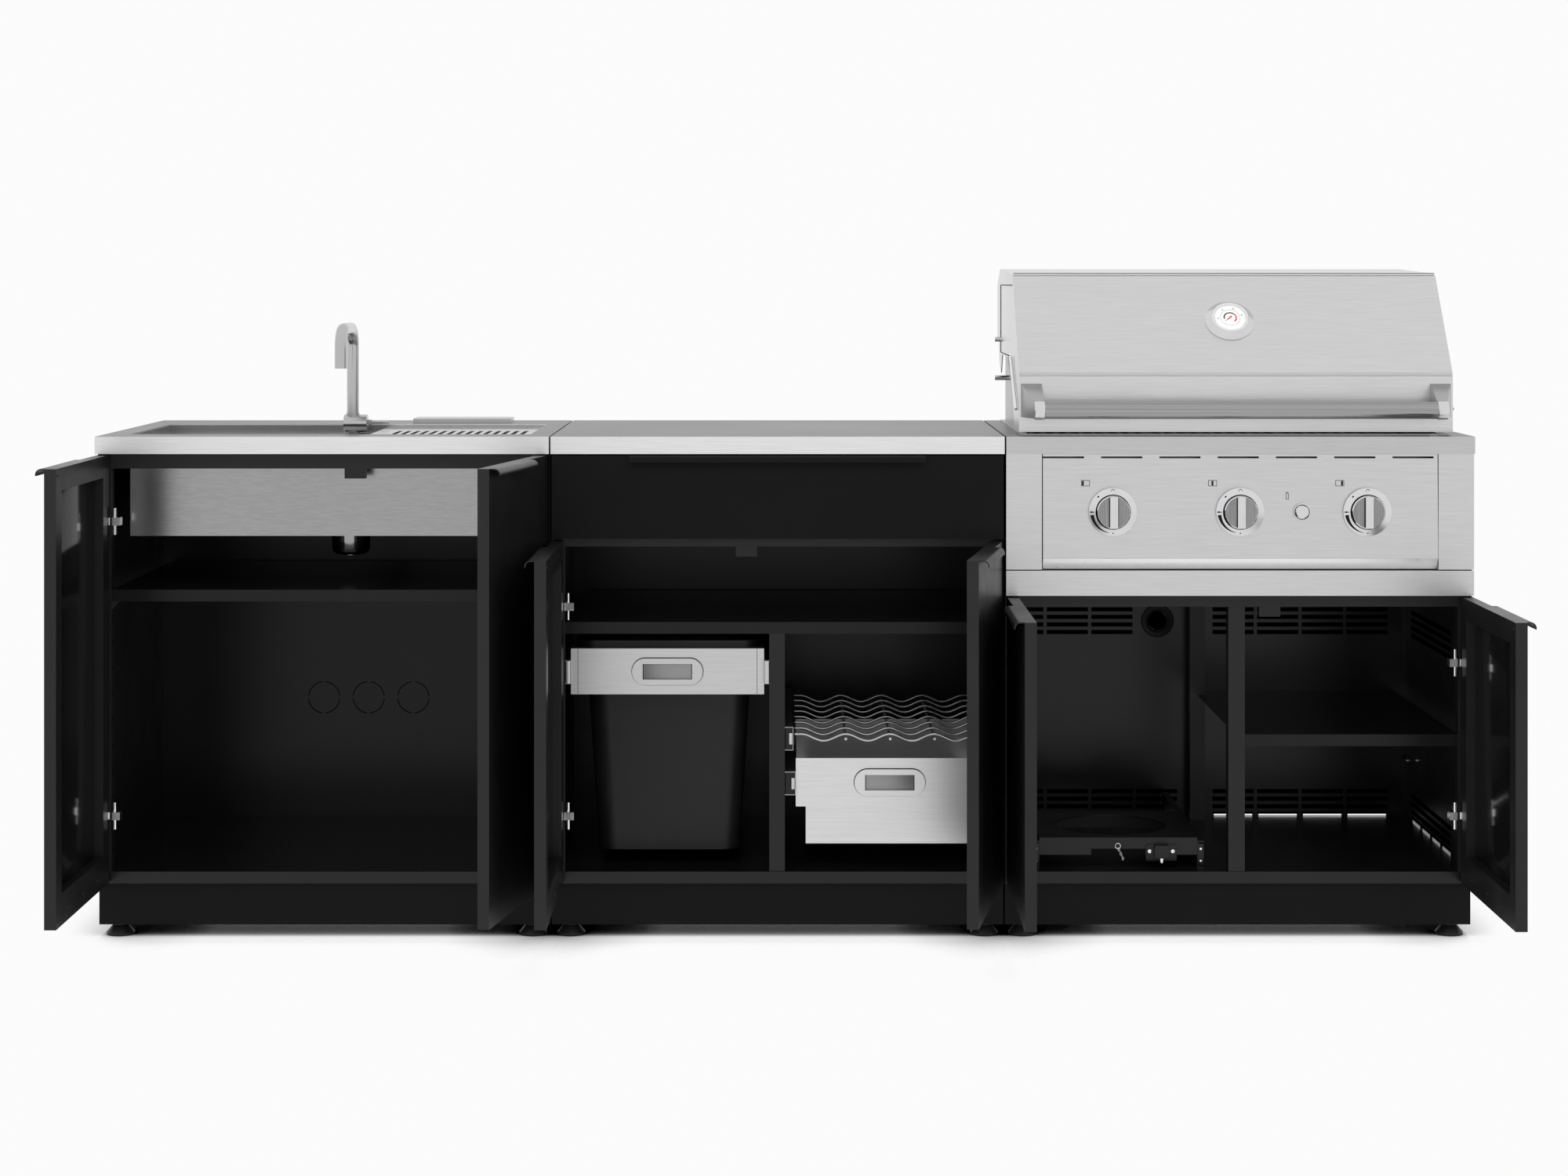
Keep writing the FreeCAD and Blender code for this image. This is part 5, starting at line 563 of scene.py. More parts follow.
def knob_rings():
    """The dark gap ring that sets each knob off from its bezel."""
    inner, outer, low, high = 0.0301, 0.0313, -0.0005, 0.0086
    base = -0.0028
    profile = [(inner, low), (outer, low), (outer, high), (inner, high), (inner, low)]
    for name, (body, across) in KNOBS.items():
        ring = lathe(profile, facing((across, deep(base), KNOB_HEIGHT), -BACK), 64)
        joined(f"{name}_ring", [ring], GAP_AND_SHADE, body)


def igniter_ring():
    """The dark gap round the igniter button."""
    inner, outer, low, high = 0.0127, 0.0137, -0.0005, 0.0004
    base = -0.0047
    profile = [(inner, low), (outer, low), (outer, high), (inner, high)]
    ring = lathe(profile, facing((IGNITER_X, deep(base), IGNITER_HEIGHT), -BACK))
    joined("igniter_gap", [ring], GAP_AND_SHADE)


KNOB_FACE = deep(-0.02155)


def scoop(across, way):
    """The shallow dished half disc beside a knob's grip bar."""
    reach, bar, taper = 0.0281, 0.0079, 0.012
    # Each ring's share of the reach, and its height over the knob's face
    steps = ((1.0, 0.0), (0.93, 0.0005), (0.88, 0.0003))
    part = bmesh.new()
    rings = []
    for share, lift in steps:
        radius = reach * share
        limit = math.acos((bar + (1 - share) * taper) / radius)
        ring = []
        for turn in evenly(-limit, limit, 24):
            x, z = way * radius * math.cos(turn), radius * math.sin(turn)
            ring.append(part.verts.new((across + x, KNOB_FACE - lift, KNOB_HEIGHT + z)))
        rings.append(ring)
    for outer, inner in zip(rings, rings[1:]):
        for step in range(len(outer)):
            follow = (step + 1) % len(outer)
            part.faces.new((outer[step], outer[follow], inner[follow], inner[step]))
    part.faces.new(rings[-1])
    bmesh.ops.recalc_face_normals(part, faces=part.faces)
    return part


def knob_scoops():
    """The darker scooped face on each side of a knob's grip bar, and the bar's dark root lines."""
    root, thick, half, proud, edge = 0.0071, 0.0011, 0.0265, 0.0004, 0.0001
    for name, (body, across) in KNOBS.items():
        scoops, roots = [], []
        for way in (1, -1):
            scoops.append(scoop(across, way))
            ends = sorted((across + way * root, across + way * (root + thick)))
            low = (ends[0], KNOB_FACE - proud, KNOB_HEIGHT - half)
            high = (ends[1], KNOB_FACE, KNOB_HEIGHT + half)
            roots.append(slab(low, high, edge))
        joined(f"{name}_scoops", scoops, SCOOP, body)
        joined(f"{name}_roots", roots, GAP_AND_SHADE, body)


def panel_joints():
    """The shadow gaps beside the control panel."""
    gap, front, back, edge = 0.0013, 0.0014, 0.0021, 0.0002
    parts = []
    for left in (PANEL_LEFT - gap, PANEL_RIGHT):
        low, high = (left, deep(front), PANEL_LOW), (left + gap, deep(back), PANEL_TOP)
        parts.append(slab(low, high, edge))
    joined("panel_joints", parts, GAP_AND_SHADE)


def panel_lip_painted_reflection():
    """A near-white skin on the control panel's folded lower lip: a painted reflection of the white floor
    below it.
    """
    inset, thick = 0.0003, 0.0003
    # Y and height of the fold's front and back edges
    front, back = (-0.1110, 0.6842), (-0.0951, 0.6646)
    normal = Vector((0, -0.78, -0.626))
    left, right = PANEL_LEFT + inset, PANEL_RIGHT - inset
    sheet = [Vector((left, *front)), Vector((right, *front)), Vector((right, *back)), Vector((left, *back))]
    part = solid_of(sheet, [corner + normal * thick for corner in sheet])
    joined("panel_lip_painted_reflection", [part], PAINTED_LIP_REFLECTION, "island", smooth=0)


# Hood

# Depth and height of the hood's slope at its lower bend and its upper fold
SLOPE_START, SLOPE_END = (0.045, 1.012), (0.197, 1.193)
HOOD_MIDDLE = 0.813
GAUGE_ALONG = 0.52


def arc_of(spot, low, high, inner, outer, lift):
    """A printed band between two radii of the dial."""
    turns = evenly(low, high, 36)
    return strip(*([spot(turn, radius, lift) for turn in turns] for radius in (outer, inner)))


def gauge_face():
    """The thermometer's white dial with its ticks, bands, needle and bright rim."""
    run = SLOPE_END[0] - SLOPE_START[0]
    rise = SLOPE_END[1] - SLOPE_START[1]
    normal = Vector((0, -rise, run)).normalized()
    up = Vector((0, run, rise)).normalized()
    depth, height = SLOPE_START[0] + run * GAUGE_ALONG, SLOPE_START[1] + rise * GAUGE_ALONG
    place = Vector((HOOD_MIDDLE, deep(depth), height))
    matrix = facing(place, normal)
    # Heights over the slope of the disc's back and face, and of the prints over that face
    disc_back, disc_face, print_base = 0.0098, 0.0106, 0.0107
    tick_lift, band_lift, needle_lift = 0.0002, 0.0003, 0.0012
    disc_radius, rim_outer, rim_top, rim_gap, rim_round = 0.0291, 0.0335, 0.0136, 0.0001, 0.0011
    ticks, tick_span, tick_radius, tick_half = (185, 125, 70, 15), 4, 0.0222, 0.0006
    ring_inner, ring_outer = 0.0180, 0.0183
    band_inner, band_outer, black_band, red_band = 0.0100, 0.0122, (55, 195), (-50, 55)
    needle_turn, needle_tip, needle_tail, needle_half = 222, 0.0165, 0.004, 0.0014

    def spot(degrees, radius, lift):
        return on_circle(place + normal * (print_base + lift), RIGHT, up, radius, degrees)

    disc = lathe([(0, disc_face), (disc_radius, disc_face), (disc_radius, disc_back)], matrix, 64)
    joined("dial_plate", [disc], DIAL, "lid")
    marks = []
    for turn in ticks:
        a, b = (spot(turn + way * tick_span, tick_radius, tick_lift) for way in (-1, 1))
        across = (b - a).normalized().cross(normal) * tick_half
        marks.append(patch([a - across, b - across, b + across, a + across]))
    marks.append(arc_of(spot, -180, 180, ring_inner, ring_outer, tick_lift))
    marks.append(arc_of(spot, *black_band, band_inner, band_outer, band_lift))
    joined("dial_marks", marks, INK, "lid", smooth=0)
    tip = spot(needle_turn, needle_tip, needle_lift)
    tail = spot(needle_turn - 180, needle_tail, needle_lift)
    across = (tip - tail).normalized().cross(normal) * needle_half
    red = [patch([tail - across, tip, tail + across])]
    red.append(arc_of(spot, *red_band, band_inner, band_outer, band_lift))
    joined("dial_needle", red, RED, "lid", smooth=0)
    rim_inner = disc_radius + rim_gap
    rim = [
        (rim_inner, disc_back),
        (rim_inner, rim_top - rim_round),
        (rim_inner + 0.0013, rim_top),
        (rim_outer - 0.0010, rim_top),
        (rim_outer, rim_top - rim_round),
        (rim_outer - 0.0005, rim_top - 0.0026),
    ]
    joined("dial_rim", [lathe(rim, matrix, 64)], CHROME, "lid")


# The handle's axis, and the half lengths between its collars and over them
HANDLE_Y, HANDLE_HEIGHT = -0.1231, 0.9497
BAR_HALF, HANDLE_HALF = 0.350, 0.3685


def handle_bar():
    """The brushed bar of the hood's handle, in place of the CAD handle."""
    radius = 0.0154
    profile = [(0.0, -BAR_HALF), (radius, -BAR_HALF), (radius, BAR_HALF), (0.0, BAR_HALF)]
    rod = lathe(profile, facing((HOOD_MIDDLE, HANDLE_Y, HANDLE_HEIGHT), RIGHT), 64)
    shown = joined("handle_bar", [rod], BAR, "lid")
    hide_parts("hood_handle")


def handle_ends():
    """A collar at each end of the bar, on a bracket that splays out to the hood."""
    radius, rim = 0.0168, 0.0008
    hood_y, foot = -0.0632, 0.3875
    low, hood_high, bar_high = 0.9345, 0.9950, 0.9660
    profile = [(0.0, BAR_HALF), (radius - rim, BAR_HALF), (radius, BAR_HALF + rim)]
    profile += [(radius, HANDLE_HALF - rim), (radius - rim, HANDLE_HALF), (0.0, HANDLE_HALF)]
    collars, brackets = [], []
    for way in (1, -1):
        collars.append(lathe(profile, facing((HOOD_MIDDLE, HANDLE_Y, HANDLE_HEIGHT), RIGHT * way), 64))
        outlines = []
        for outer, y, high in ((foot, hood_y, hood_high), (HANDLE_HALF, HANDLE_Y, bar_high)):
            corners = ((BAR_HALF, low), (outer, low), (outer, high), (BAR_HALF, high))
            outlines.append([(HOOD_MIDDLE + way * x, y, z) for x, z in corners])
        part = solid_of(*outlines)
        bmesh.ops.bevel(part, geom=part.edges[:], offset=rim, segments=2, affect="EDGES", profile=0.5)
        brackets.append(part)
    joined("handle_collars", collars, BRIGHT, "lid")
    joined("handle_brackets", brackets, INNER, "lid")


HOOD_LEFT, HOOD_RIGHT = 0.4235, 1.2025


def hood_fold_painted_shade():
    """A darker line along the hood's top fold: painted shade at the crease."""
    sunk, lift, radius = 0.0004, 0.0006, 0.0010
    y, z = deep(SLOPE_END[0]) + sunk, SLOPE_END[1] + lift
    line = [(x, y, z) for x in (HOOD_LEFT, 0.60, HOOD_MIDDLE, 1.02, HOOD_RIGHT)]
    tube("hood_fold_painted_shade", [line], radius, SHADE_STEEL, "lid")


def hood_bend():
    """A darker band along the hood's lower bend: painted shade, laid over the bright line the bend would
    otherwise show.
    """
    y, z = deep(SLOPE_START[0]), SLOPE_START[1]
    face, corner = y - 0.0003, z + 0.0001
    rows = [(face, corner - 0.0031), (face, corner), (y + 0.0022, z + 0.0031)]
    lines = [[Vector((x, *row)) for x in (HOOD_LEFT, HOOD_RIGHT)] for row in rows]
    bend = [strip(*pair) for pair in zip(lines, lines[1:])]
    joined("hood_bend", bend, COVER, "lid")


def hood_sides():
    """The seam and the rod on each side of the hood."""
    seam_lift, seam_radius, rod_lift, rod_radius = 0.0018, 0.0009, 0.0053, 0.0030
    # Depth and height of the seam's corners and of the rod's ends
    corners = ((0.205, 1.1715), (0.500, 1.1710), (0.500, 1.0400), (0.262, 1.0385))
    ends = ((0.199, 1.0390), (0.065, 0.9480))
    seams, rods = [], []
    for side, way in ((HOOD_LEFT, -1), (HOOD_RIGHT, 1)):
        seams.append([(side + way * seam_lift, deep(depth), height) for depth, height in corners])
        rods.append([(side + way * rod_lift, deep(depth), height) for depth, height in ends])
    tube("hood_seams", seams, seam_radius, GAP_AND_SHADE, "lid")
    tube("hood_rods", rods, rod_radius, CHROME, "lid")


# Cabinet sheets

GRILL_LEFT, GRILL_RIGHT = 0.398, 1.232
BACK_SHEET = 0.596
SLOT_LENGTH, SLOT_HALF = 0.076, 0.0041


def blade(start, row, along, inward, low):
    """The dead-black blade behind one slot, set just inside the sheet: painted shade that keeps the slot
    dark.
    """
    margin, front, back, edge = 0.0028, 0.0003, 0.0012, 0.0002
    near = start - along * margin + inward * front + UP * (row + low)
    far = start + along * (SLOT_LENGTH + margin) + inward * back + UP * (row + SLOT_HALF)
    corners = [sorted(pair) for pair in zip(near, far)]
    return slab([pair[0] for pair in corners], [pair[1] for pair in corners], edge)


def vents():
    """Dead-black blades behind the grill cabinet's slots, which leave the lowest row half open: painted
    shade that keeps the slots dark.
    """
    upper, lower = 0.5275, 0.167
    row_step, back_step, side_step = 0.015, 0.0884, 0.09
    back_groups, side_start = (0.434, 0.851), 0.193
    # The upper bank of the back skips the slot where the hose hole is
    hose_column = 3
    columns = [first + index * back_step for first in back_groups for index in range(4)]
    parts = []
    for bank in (upper, lower):
        for index in range(4):
            row = bank - index * row_step
            low = 0.0 if bank == lower and index == 3 else -SLOT_HALF
            for column, start in enumerate(columns):
                if column != hose_column or bank != upper:
                    parts.append(blade(Vector((start, deep(BACK_SHEET), 0)), row, RIGHT, -BACK, low))
            for edge, way in ((GRILL_LEFT, 1), (GRILL_RIGHT, -1)):
                for step in range(4):
                    start = Vector((edge, deep(side_start + step * side_step), 0))
                    parts.append(blade(start, row, BACK, RIGHT * way, low))
    joined("vent_blades_painted_shade", parts, GAP_AND_SHADE, "island", smooth=0)


def knockouts():
    """Three punched discs, held by small webs, in the back of the sink cabinet."""
    middle, step, height, face = -0.825, 0.0885, 0.353, 0.5958
    outer, inner = 0.0318, 0.0302
    web = 6
    parts = []
    for across in (middle - step, middle, middle + step):
        centre = Vector((across, deep(face), height))
        for quarter in (0, 90, 180, 270):
            turns = evenly(quarter + web, quarter + 90 - web, 12)
            runs = []
            for radius in (outer, inner):
                runs.append([on_circle(centre, RIGHT, UP, radius, turn) for turn in turns])
            parts.append(strip(*runs))
    joined("knockouts", parts, GAP_AND_SHADE, smooth=0)


# The inner faces of the sink cabinet's front posts, and the top of its shelf's peg plates
SINK_POSTS = (-1.210, -0.446)
PEG_HEIGHT = 0.604


def shelf_holes():
    """Rows of peg holes up the posts and the walls of the sink cabinet."""
    front, back, top, step, radius, lift = 0.040, 0.537, 0.577, 0.0466, 0.0025, 0.0002
    wall = 0.022
    parts = []
    for post, way in zip(SINK_POSTS, (1, -1)):
        for face, depth in ((post, front), (post - way * wall, back)):
            for row in range(10):
                centre = Vector((face + way * lift, deep(depth), top - step * row))
                parts.append(patch(ring_of(centre, BACK, UP, radius, 16)))
    joined("shelf_holes", parts, GAP_AND_SHADE, smooth=0)


def shelf_plates():
    """A small triangular peg plate under each front corner of the sink's shelf."""
    long, tall, front, back = 0.014, 0.016, 0.0305, 0.032
    plates = []
    for post, way in zip(SINK_POSTS, (1, -1)):
        corners = ((post, PEG_HEIGHT), (post + way * long, PEG_HEIGHT), (post, PEG_HEIGHT - tall))
        outlines = ([(x, deep(depth), z) for x, z in corners] for depth in (front, back))
        plates.append(solid_of(*outlines))
    joined("shelf_plates", plates, BLACK, "island", smooth=0)


def side_bolts():
    """Two washered bolts on the right wall of the grill cabinet."""
    washer_radius, thick, head_radius, head_height = 0.0080, 0.0012, 0.0046, 0.0036
    washer = [(washer_radius, 0.0), (washer_radius, thick), (head_radius - 0.0001, thick + 0.0002)]
    # Depth and height of each bolt
    spots = ((0.484, 0.2462), (0.575, 0.2316))
    parts = []
    for depth, height in spots:
        place = Vector((GRILL_RIGHT, deep(depth), height))
        parts.append(lathe(washer, facing(place, -RIGHT), 24))
        parts.append(screw(place - RIGHT * thick, -RIGHT, head_radius, head_height))
    joined("side_bolts", parts, INNER, "island")


def hose_grommet():
    """A rubber ring in the hose hole, with a dark dished disc that fills the hole as painted shade."""
    across, height = 0.739, 0.5047
    hole, flange, crest = 0.0185, 0.0325, 0.0055
    matrix = facing((across, deep(BACK_SHEET), height), -BACK)
    ring = [
        (hole, -0.001),
        (hole, 0.003),
        (hole + 0.005, crest),
        (flange - 0.0015, 0.0035),
        (flange, 0.0),
        (flange, -0.0003),
    ]
    joined("hose_grommet", [lathe(ring, matrix)], PLASTIC)
    # Painted shade: a dark dished disc fills the hole
    skin = hole - 0.0001
    dish = [(0, -0.0006), (0.010, -0.0003), (skin, 0.0006), (skin, -0.0008)]
    joined("hose_hole_painted_shade", [lathe(dish, matrix)], GAP_AND_SHADE)


# Sink and storage


def drain_cup():
    """The polished cup of the drain with its rounded foot."""
    across, y, radius, top = -0.8135, 0.16195, 0.0356, 0.7186
    foot = [(0.0335, 0.6735), (0.028, 0.6690), (0.0172, 0.6672), (0.0172, 0.6668)]
    profile = [(radius, top), (radius, 0.681), *foot]
    place = Matrix.Translation((across, y, 0))
    joined("drain_cup", [lathe(profile, place, 64)], DRAIN, "island")


RACK_LEFT, RACK_RIGHT, RACK_HEIGHT = 0.0155, 0.3615, 0.357
RACK_FRONT, RACK_BACK = deep(0.045), deep(0.556)
CREST, CREST_STEP = RACK_LEFT + 0.0945, 0.08


def rack_waves():
    """Round bent wires across the wine rack, in place of the CAD rack's."""
    inset, setback, rise, half, radius, count = 0.002, 0.003, 0.006, CREST_STEP / 4, 0.0022, 8
    flat_left, flat_right = CREST - CREST_STEP, CREST + CREST_STEP * 3
    runs = []
    for depth in evenly(RACK_FRONT + setback, RACK_BACK - setback, count - 1):
        points = []
        for across in evenly(RACK_LEFT + inset, RACK_RIGHT - inset, 140):
            swing = min(max(across, flat_left), flat_right)
            wave = math.cos(math.pi * (swing - CREST) / (2 * half))
            points.append((across, depth, RACK_HEIGHT + rise * wave))
        runs.append(points)
    wires = tube("rack_waves", runs, radius, WIRES, "rack")
    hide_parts("wine_rack")


def rack_frame():
    """The rack's three long rods and its two side bars."""
    radius, thick, half, edge, inset = 0.0026, 0.0025, 0.013, 0.0008, 0.001
    rods = []
    for across in (CREST, CREST + CREST_STEP, CREST + CREST_STEP * 2):
        rods.append([(across, y, RACK_HEIGHT - radius) for y in (RACK_FRONT + inset, RACK_BACK - inset)])
    tube("rack_rods", rods, radius, WIRES, "rack")
    bars = []
    for left in (RACK_LEFT, RACK_RIGHT - thick):
        low = (left, RACK_FRONT, RACK_HEIGHT - half)
        high = (left + thick, RACK_BACK, RACK_HEIGHT + half)
        bars.append(slab(low, high, edge))
    joined("rack_bars", bars, PLASTIC, "rack")


# Each pull's body, middle and height, and the Y of the front sheets that they are set in
PULLS = {"bin": ("bin_pull_out", -0.2115, 0.47625), "cooler": ("cooler", 0.189, 0.2765)}
PULL_SHEET = -0.0631


def pulls():
    """The dark joint line round the two oval pulls, and a grey plate with dark ends over each recess:
    painted shade of the recess.
    """
    half_long, half_high, line, line_lift = 0.0640, 0.0242, 0.0010, 0.0003
    plate_long, plate_high = 0.0442, 0.0138
    # How far the faces and backs of the plate and of its dark edges lie before the sheet
    plate_face, plate_back, edge_face, edge_back = 0.0021, 0.0012, 0.0029, 0.0014
    # How far each dark edge reaches into the plate and past it
    edge_inward, edge_outward = 0.0009, 0.0002
    for name, (body, across, height) in PULLS.items():
        outline = []
        for way, start in ((1, -90), (-1, 90)):
            centre = Vector((across + way * (half_long - half_high), PULL_SHEET - line_lift, height))
            turns = evenly(start, start + 180, 24)
            outline += [on_circle(centre, RIGHT, UP, half_high, turn) for turn in turns]
        tube(f"{name}_pull_joint", [outline], line, GAP_AND_SHADE, body, closed=True)
        # Painted shade: the recess is drawn as a grey plate with dark ends just before the sheet
        low = (across - plate_long, PULL_SHEET - plate_face, height - plate_high)
        high = (across + plate_long, PULL_SHEET - plate_back, height + plate_high)
        plate = slab(low, high, 0.0003)
        joined(f"{name}_pull_plate_painted_shade", [plate], SHADE_STEEL, body)
        edges = []
        for way in (1, -1):
            ends = sorted(across + way * (plate_long + margin) for margin in (-edge_inward, edge_outward))
            low = (ends[0], PULL_SHEET - edge_face, height - plate_high)
            high = (ends[1], PULL_SHEET - edge_back, height + plate_high)
            edges.append(slab(low, high, 0.0002))
        joined(f"{name}_pull_edges_painted_shade", edges, GAP_AND_SHADE, body)


def bin_seams():
    """The fold lines at the two ends of the bin frame's front."""
    left, right, wide, low, high, edge = -0.3734, -0.0504, 0.0008, 0.4355, 0.5170, 0.0001
    front, back = PULL_SHEET - 0.0002, PULL_SHEET + 0.0001
    seams = [slab((x, front, low), (x + wide, back, high), edge) for x in (left, right)]
    joined("bin_seams", seams, INK, "bin_pull_out")


TRAY_FACE = deep(0.060)


def latch_bracket():
    """The bracket on the front of the gas bottle tray, with its block for the spring pin."""
    middle, plate_half, block_half = 0.680, 0.028, 0.0135
    plate_low, block_low, top, screw_height = 0.132, 0.138, 0.162, 0.150
    plate_face, block_face, block_back = TRAY_FACE - 0.0022, TRAY_FACE - 0.013, TRAY_FACE - 0.002
    pin_radius, pin_length, pin_low, pin_y = 0.0045, 0.012, 0.128, TRAY_FACE - 0.0075
    screw_left, screw_right, screw_radius, screw_rise = 0.6587, 0.7006, 0.0042, 0.0026
    plate = ((middle - plate_half, plate_face, plate_low), (middle + plate_half, TRAY_FACE, top))
    block = ((middle - block_half, block_face, block_low), (middle + block_half, block_back, top))
    parts = [slab(*plate, 0.0008), slab(*block, 0.0015)]
    joined("latch_bracket", parts, BLACK, "tank_slide")
    screws = [(across, plate_face, screw_height) for across in (screw_left, screw_right)]
    hardware = [screw(place, -BACK, screw_radius, screw_rise) for place in screws]
    pin = [(0, 0.0), (0.004, 0.001), (pin_radius, 0.003), (pin_radius, pin_length), (0, pin_length)]
    hardware.append(lathe(pin, Matrix.Translation((middle, pin_y, pin_low)), 24))
    joined("latch_hardware", hardware, CHROME, "tank_slide")


def latch_chain():
    """The spring pin's pull ring, hung up beside the bracket, and its five oval links."""
    ring_centre, ring_radius, ring_wire = (0.6014, TRAY_FACE - 0.003, 0.1595), 0.0048, 0.0009
    first_link, link_step = Vector((0.603, TRAY_FACE - 0.0035, 0.1535)), Vector((0.0019, 0, -0.0042))
    link_radius, link_wire = 0.0029, 0.0005
    ring = ring_of(Vector(ring_centre), RIGHT, UP, ring_radius, 24)
    tube("latch_ring", [ring], ring_wire, CHROME, "tank_slide", closed=True)
    links = []
    for index in range(5):
        wide = BACK if index % 2 else RIGHT
        links.append(ring_of(first_link + link_step * index, wide * 0.5, UP, link_radius, 14))
    tube("latch_chain", links, link_wire, CHROME, "tank_slide", closed=True, sides=2)


def rail_ends():
    """The folded front ends of the gas bottle tray's rails, with their bolts."""
    rail_starts, wide, edge = (0.4480, 0.7458), 0.0112, 0.0004
    front, back, low, high = deep(0.0592), deep(0.0600), 0.1235, 0.163
    bolt_heights, bolt_radius, bolt_rise = (0.132, 0.154), 0.0026, 0.0018
    plates, heads = [], []
    for left in rail_starts:
        plates.append(slab((left, front, low), (left + wide, back, high), edge))
        for height in bolt_heights:
            heads.append(screw((left + wide / 2, front, height), -BACK, bolt_radius, bolt_rise))
    joined("rail_end_plates", plates, BLACK, "island")
    joined("rail_end_bolts", heads, CHROME, "island")


def slide_end(left, right, height, depths, half):
    """A block over the front end of a slide, between two sides and two depths and about a height."""
    edge = 0.0008
    front, back = (deep(depth) for depth in depths)
    return slab((left, front, height - half), (right, back, height + half), edge)


def slide_hardware():
    """The steel ends, black caps and white stops at the front of the pull-out slides."""
    # Left side, right side and height of the bin's two slides, and of those beside them
    bin_slides = ((-0.395, -0.3858, 0.47625), (-0.0372, -0.028, 0.47625))
    capped_slides = ((0.0, 0.0192, 0.2765), (0.3588, 0.369, 0.2765), (0.0, 0.0150, 0.357))
    inset, gap = 0.001, 0.0006
    steel_depths, steel_half = (0.030, 0.0335), 0.0205
    cap_depths, cap_half = (0.0315, 0.0345), 0.0200
    stop_depths, stop_half, stop_wide, stop_gap = (0.0285, 0.0318), 0.0100, 0.0057, 0.0015
    steel, dark, white = [], [], []
    for left, right, height in bin_slides:
        steel.append(slide_end(left + inset, right - gap, height, steel_depths, steel_half))
    for left, right, height in capped_slides:
        dark.append(slide_end(left + inset, right - gap, height, cap_depths, cap_half))
        stop_right = right - stop_gap
        white.append(slide_end(stop_right - stop_wide, stop_right, height, stop_depths, stop_half))
    joined("slide_ends", steel, SATIN, "island")
    joined("slide_caps", dark, PLASTIC)
    joined("slide_stops", white, WHITE)


# Studio

BACKDROP = 0.97
SKY_LEFT, SKY_RIGHT, SKY_BACK, SKY_TOP = 1.1, 0.7, 0.37, 1.05
FLOOR_SIZE, FLOOR_DROP = 60, 0.0005
# How far the floor looks for what stands over it, the open shares that shade it, and its darkest tone
SHADE_REACH, SHADE_SPAN, SHADE_DARK = 0.2, (0.222, 0.718), 0.0
# Each lamp's name, place, aim, size and power
LAMPS = (
    ("key", (-0.6, -3.2, 3.4), (0, 0, 0.6), (3.5, 1.6), 40.0),
    ("fill", (2.6, -3.0, 2.2), (0.4, 0, 0.7), (1.6, 2.2), 10.0),
)
CAMERA_X, CAMERA_DISTANCE, CAMERA_HEIGHT = -0.0015, 5.45, 1.1932
LENS, FILM_WIDTH, FILM_SHIFT = 70.0, 36.0, -0.2005


def floor():
    """A white floor that darkens only where the cabinets stand close over it."""
    mesh = bpy.data.meshes.new("floor")
    part = bmesh.new()
    bmesh.ops.create_grid(part, x_segments=1, y_segments=1, size=FLOOR_SIZE)
    part.to_mesh(mesh)
    part.free()
    item = added("floor", mesh)
    item.location = (0, 0, -FLOOR_DROP)
    material, nodes, links, shader = tree("studio_floor")
    shade = nodes.new("ShaderNodeAmbientOcclusion")
    shade.samples = 24
    shade.inputs["Distance"].default_value = SHADE_REACH
    tone = ranged(nodes, links, shade, "AO", SHADE_SPAN, (SHADE_DARK, BACKDROP))
    glow = nodes.new("ShaderNodeEmission")
    wire(links, tone, "Result", glow, "Color")
    wire(links, glow, "Emission", nodes["Material Output"], "Surface")
    nodes.remove(shader)
    mesh.materials.append(material)


def blended(nodes, links, factor, first, second):
    """A number between two, where the first comes from a socket."""
    mix = nodes.new("ShaderNodeMix")
    links.new(factor, mix.inputs["Factor"])
    links.new(first, mix.inputs[NUMBER_A])
    mix.inputs[NUMBER_B].default_value = second
    return mix.outputs["Result"]


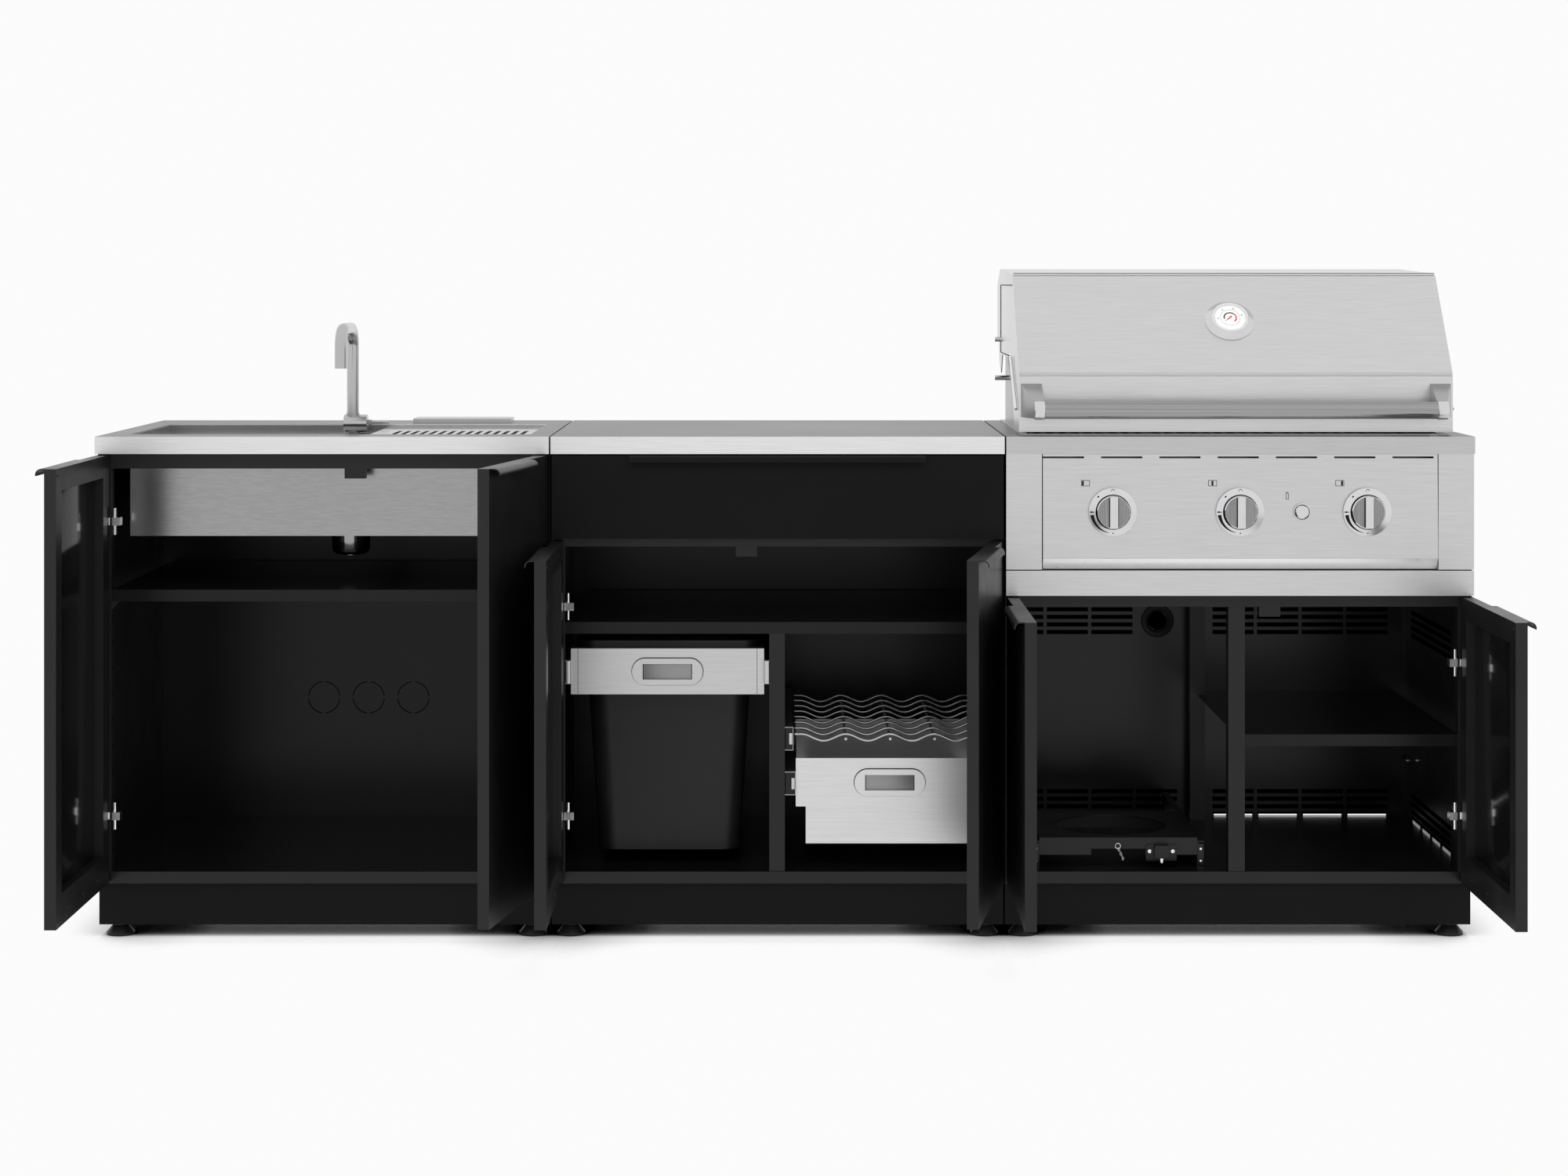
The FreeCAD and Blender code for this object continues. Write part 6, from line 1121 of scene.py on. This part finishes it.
def sky():
    """Soft light that is strongest from the front left and overhead, behind a plain backdrop."""
    world = bpy.data.worlds.new("studio")
    bpy.context.scene.world = world
    world.use_nodes = True
    nodes, links = world.node_tree.nodes, world.node_tree.links
    background = nodes["Background"]
    place = nodes.new("ShaderNodeTexCoord")
    split = nodes.new("ShaderNodeSeparateXYZ")
    wire(links, place, "Generated", split, "Vector")
    front = ranged(nodes, links, split, "X", (-0.45, 0.45), (SKY_LEFT, SKY_RIGHT), smooth=True)
    behind = ranged(nodes, links, split, "Y", (-0.6, 0.7), (0.0, 1.0), smooth=True)
    overhead = ranged(nodes, links, split, "Z", (0.15, 0.9), (0.0, 1.0), smooth=True)
    around = blended(nodes, links, behind.outputs["Result"], front.outputs["Result"], SKY_BACK)
    upper = blended(nodes, links, overhead.outputs["Result"], around, SKY_TOP)
    path = nodes.new("ShaderNodeLightPath")
    shown = path.outputs["Is Camera Ray"]
    for name in ("Is Glossy Ray", "Is Transmission Ray"):
        either = nodes.new("ShaderNodeMath")
        either.operation = "MAXIMUM"
        links.new(shown, either.inputs[0])
        links.new(path.outputs[name], either.inputs[1])
        shown = either.outputs[0]
    links.new(blended(nodes, links, shown, upper, BACKDROP), background.inputs["Strength"])
    background.inputs["Color"].default_value = (1, 1, 1, 1)


def lamps():
    """A broad key lamp at the front left and a weak fill at the right."""
    for name, place, aim, size, power in LAMPS:
        light = bpy.data.lights.new(name, "AREA")
        light.shape = "RECTANGLE"
        light.size, light.size_y = size
        light.energy = power
        item = added(name, light)
        item.location = place
        item.visible_glossy = False
        item.rotation_euler = (Vector(aim) - Vector(place)).to_track_quat("-Z", "Y").to_euler()


def viewpoint():
    """The photograph's view: level, from straight ahead, with the film shifted down."""
    camera = bpy.data.cameras.new("camera")
    camera.lens = LENS
    camera.sensor_width = FILM_WIDTH
    camera.sensor_fit = "HORIZONTAL"
    camera.shift_y = FILM_SHIFT
    camera.clip_start, camera.clip_end = 0.1, 200
    item = added("camera", camera)
    item.location = (CAMERA_X, deep(-CAMERA_DISTANCE), CAMERA_HEIGHT)
    item.rotation_euler = (math.radians(90), 0, 0)
    bpy.context.scene.camera = item
    bpy.context.scene.view_settings.view_transform = "Standard"


dress_nodes()
door_trim()
panel_marks()
bezel_marks()
knob_rings()
knob_scoops()
igniter_ring()
panel_joints()
panel_lip_painted_reflection()
gauge_face()
handle_bar()
handle_ends()
hood_fold_painted_shade()
hood_bend()
hood_sides()
vents()
knockouts()
shelf_holes()
shelf_plates()
rack_waves()
rack_frame()
pulls()
bin_seams()
latch_bracket()
latch_chain()
rail_ends()
side_bolts()
hose_grommet()
drain_cup()
slide_hardware()
floor()
sky()
lamps()
viewpoint()
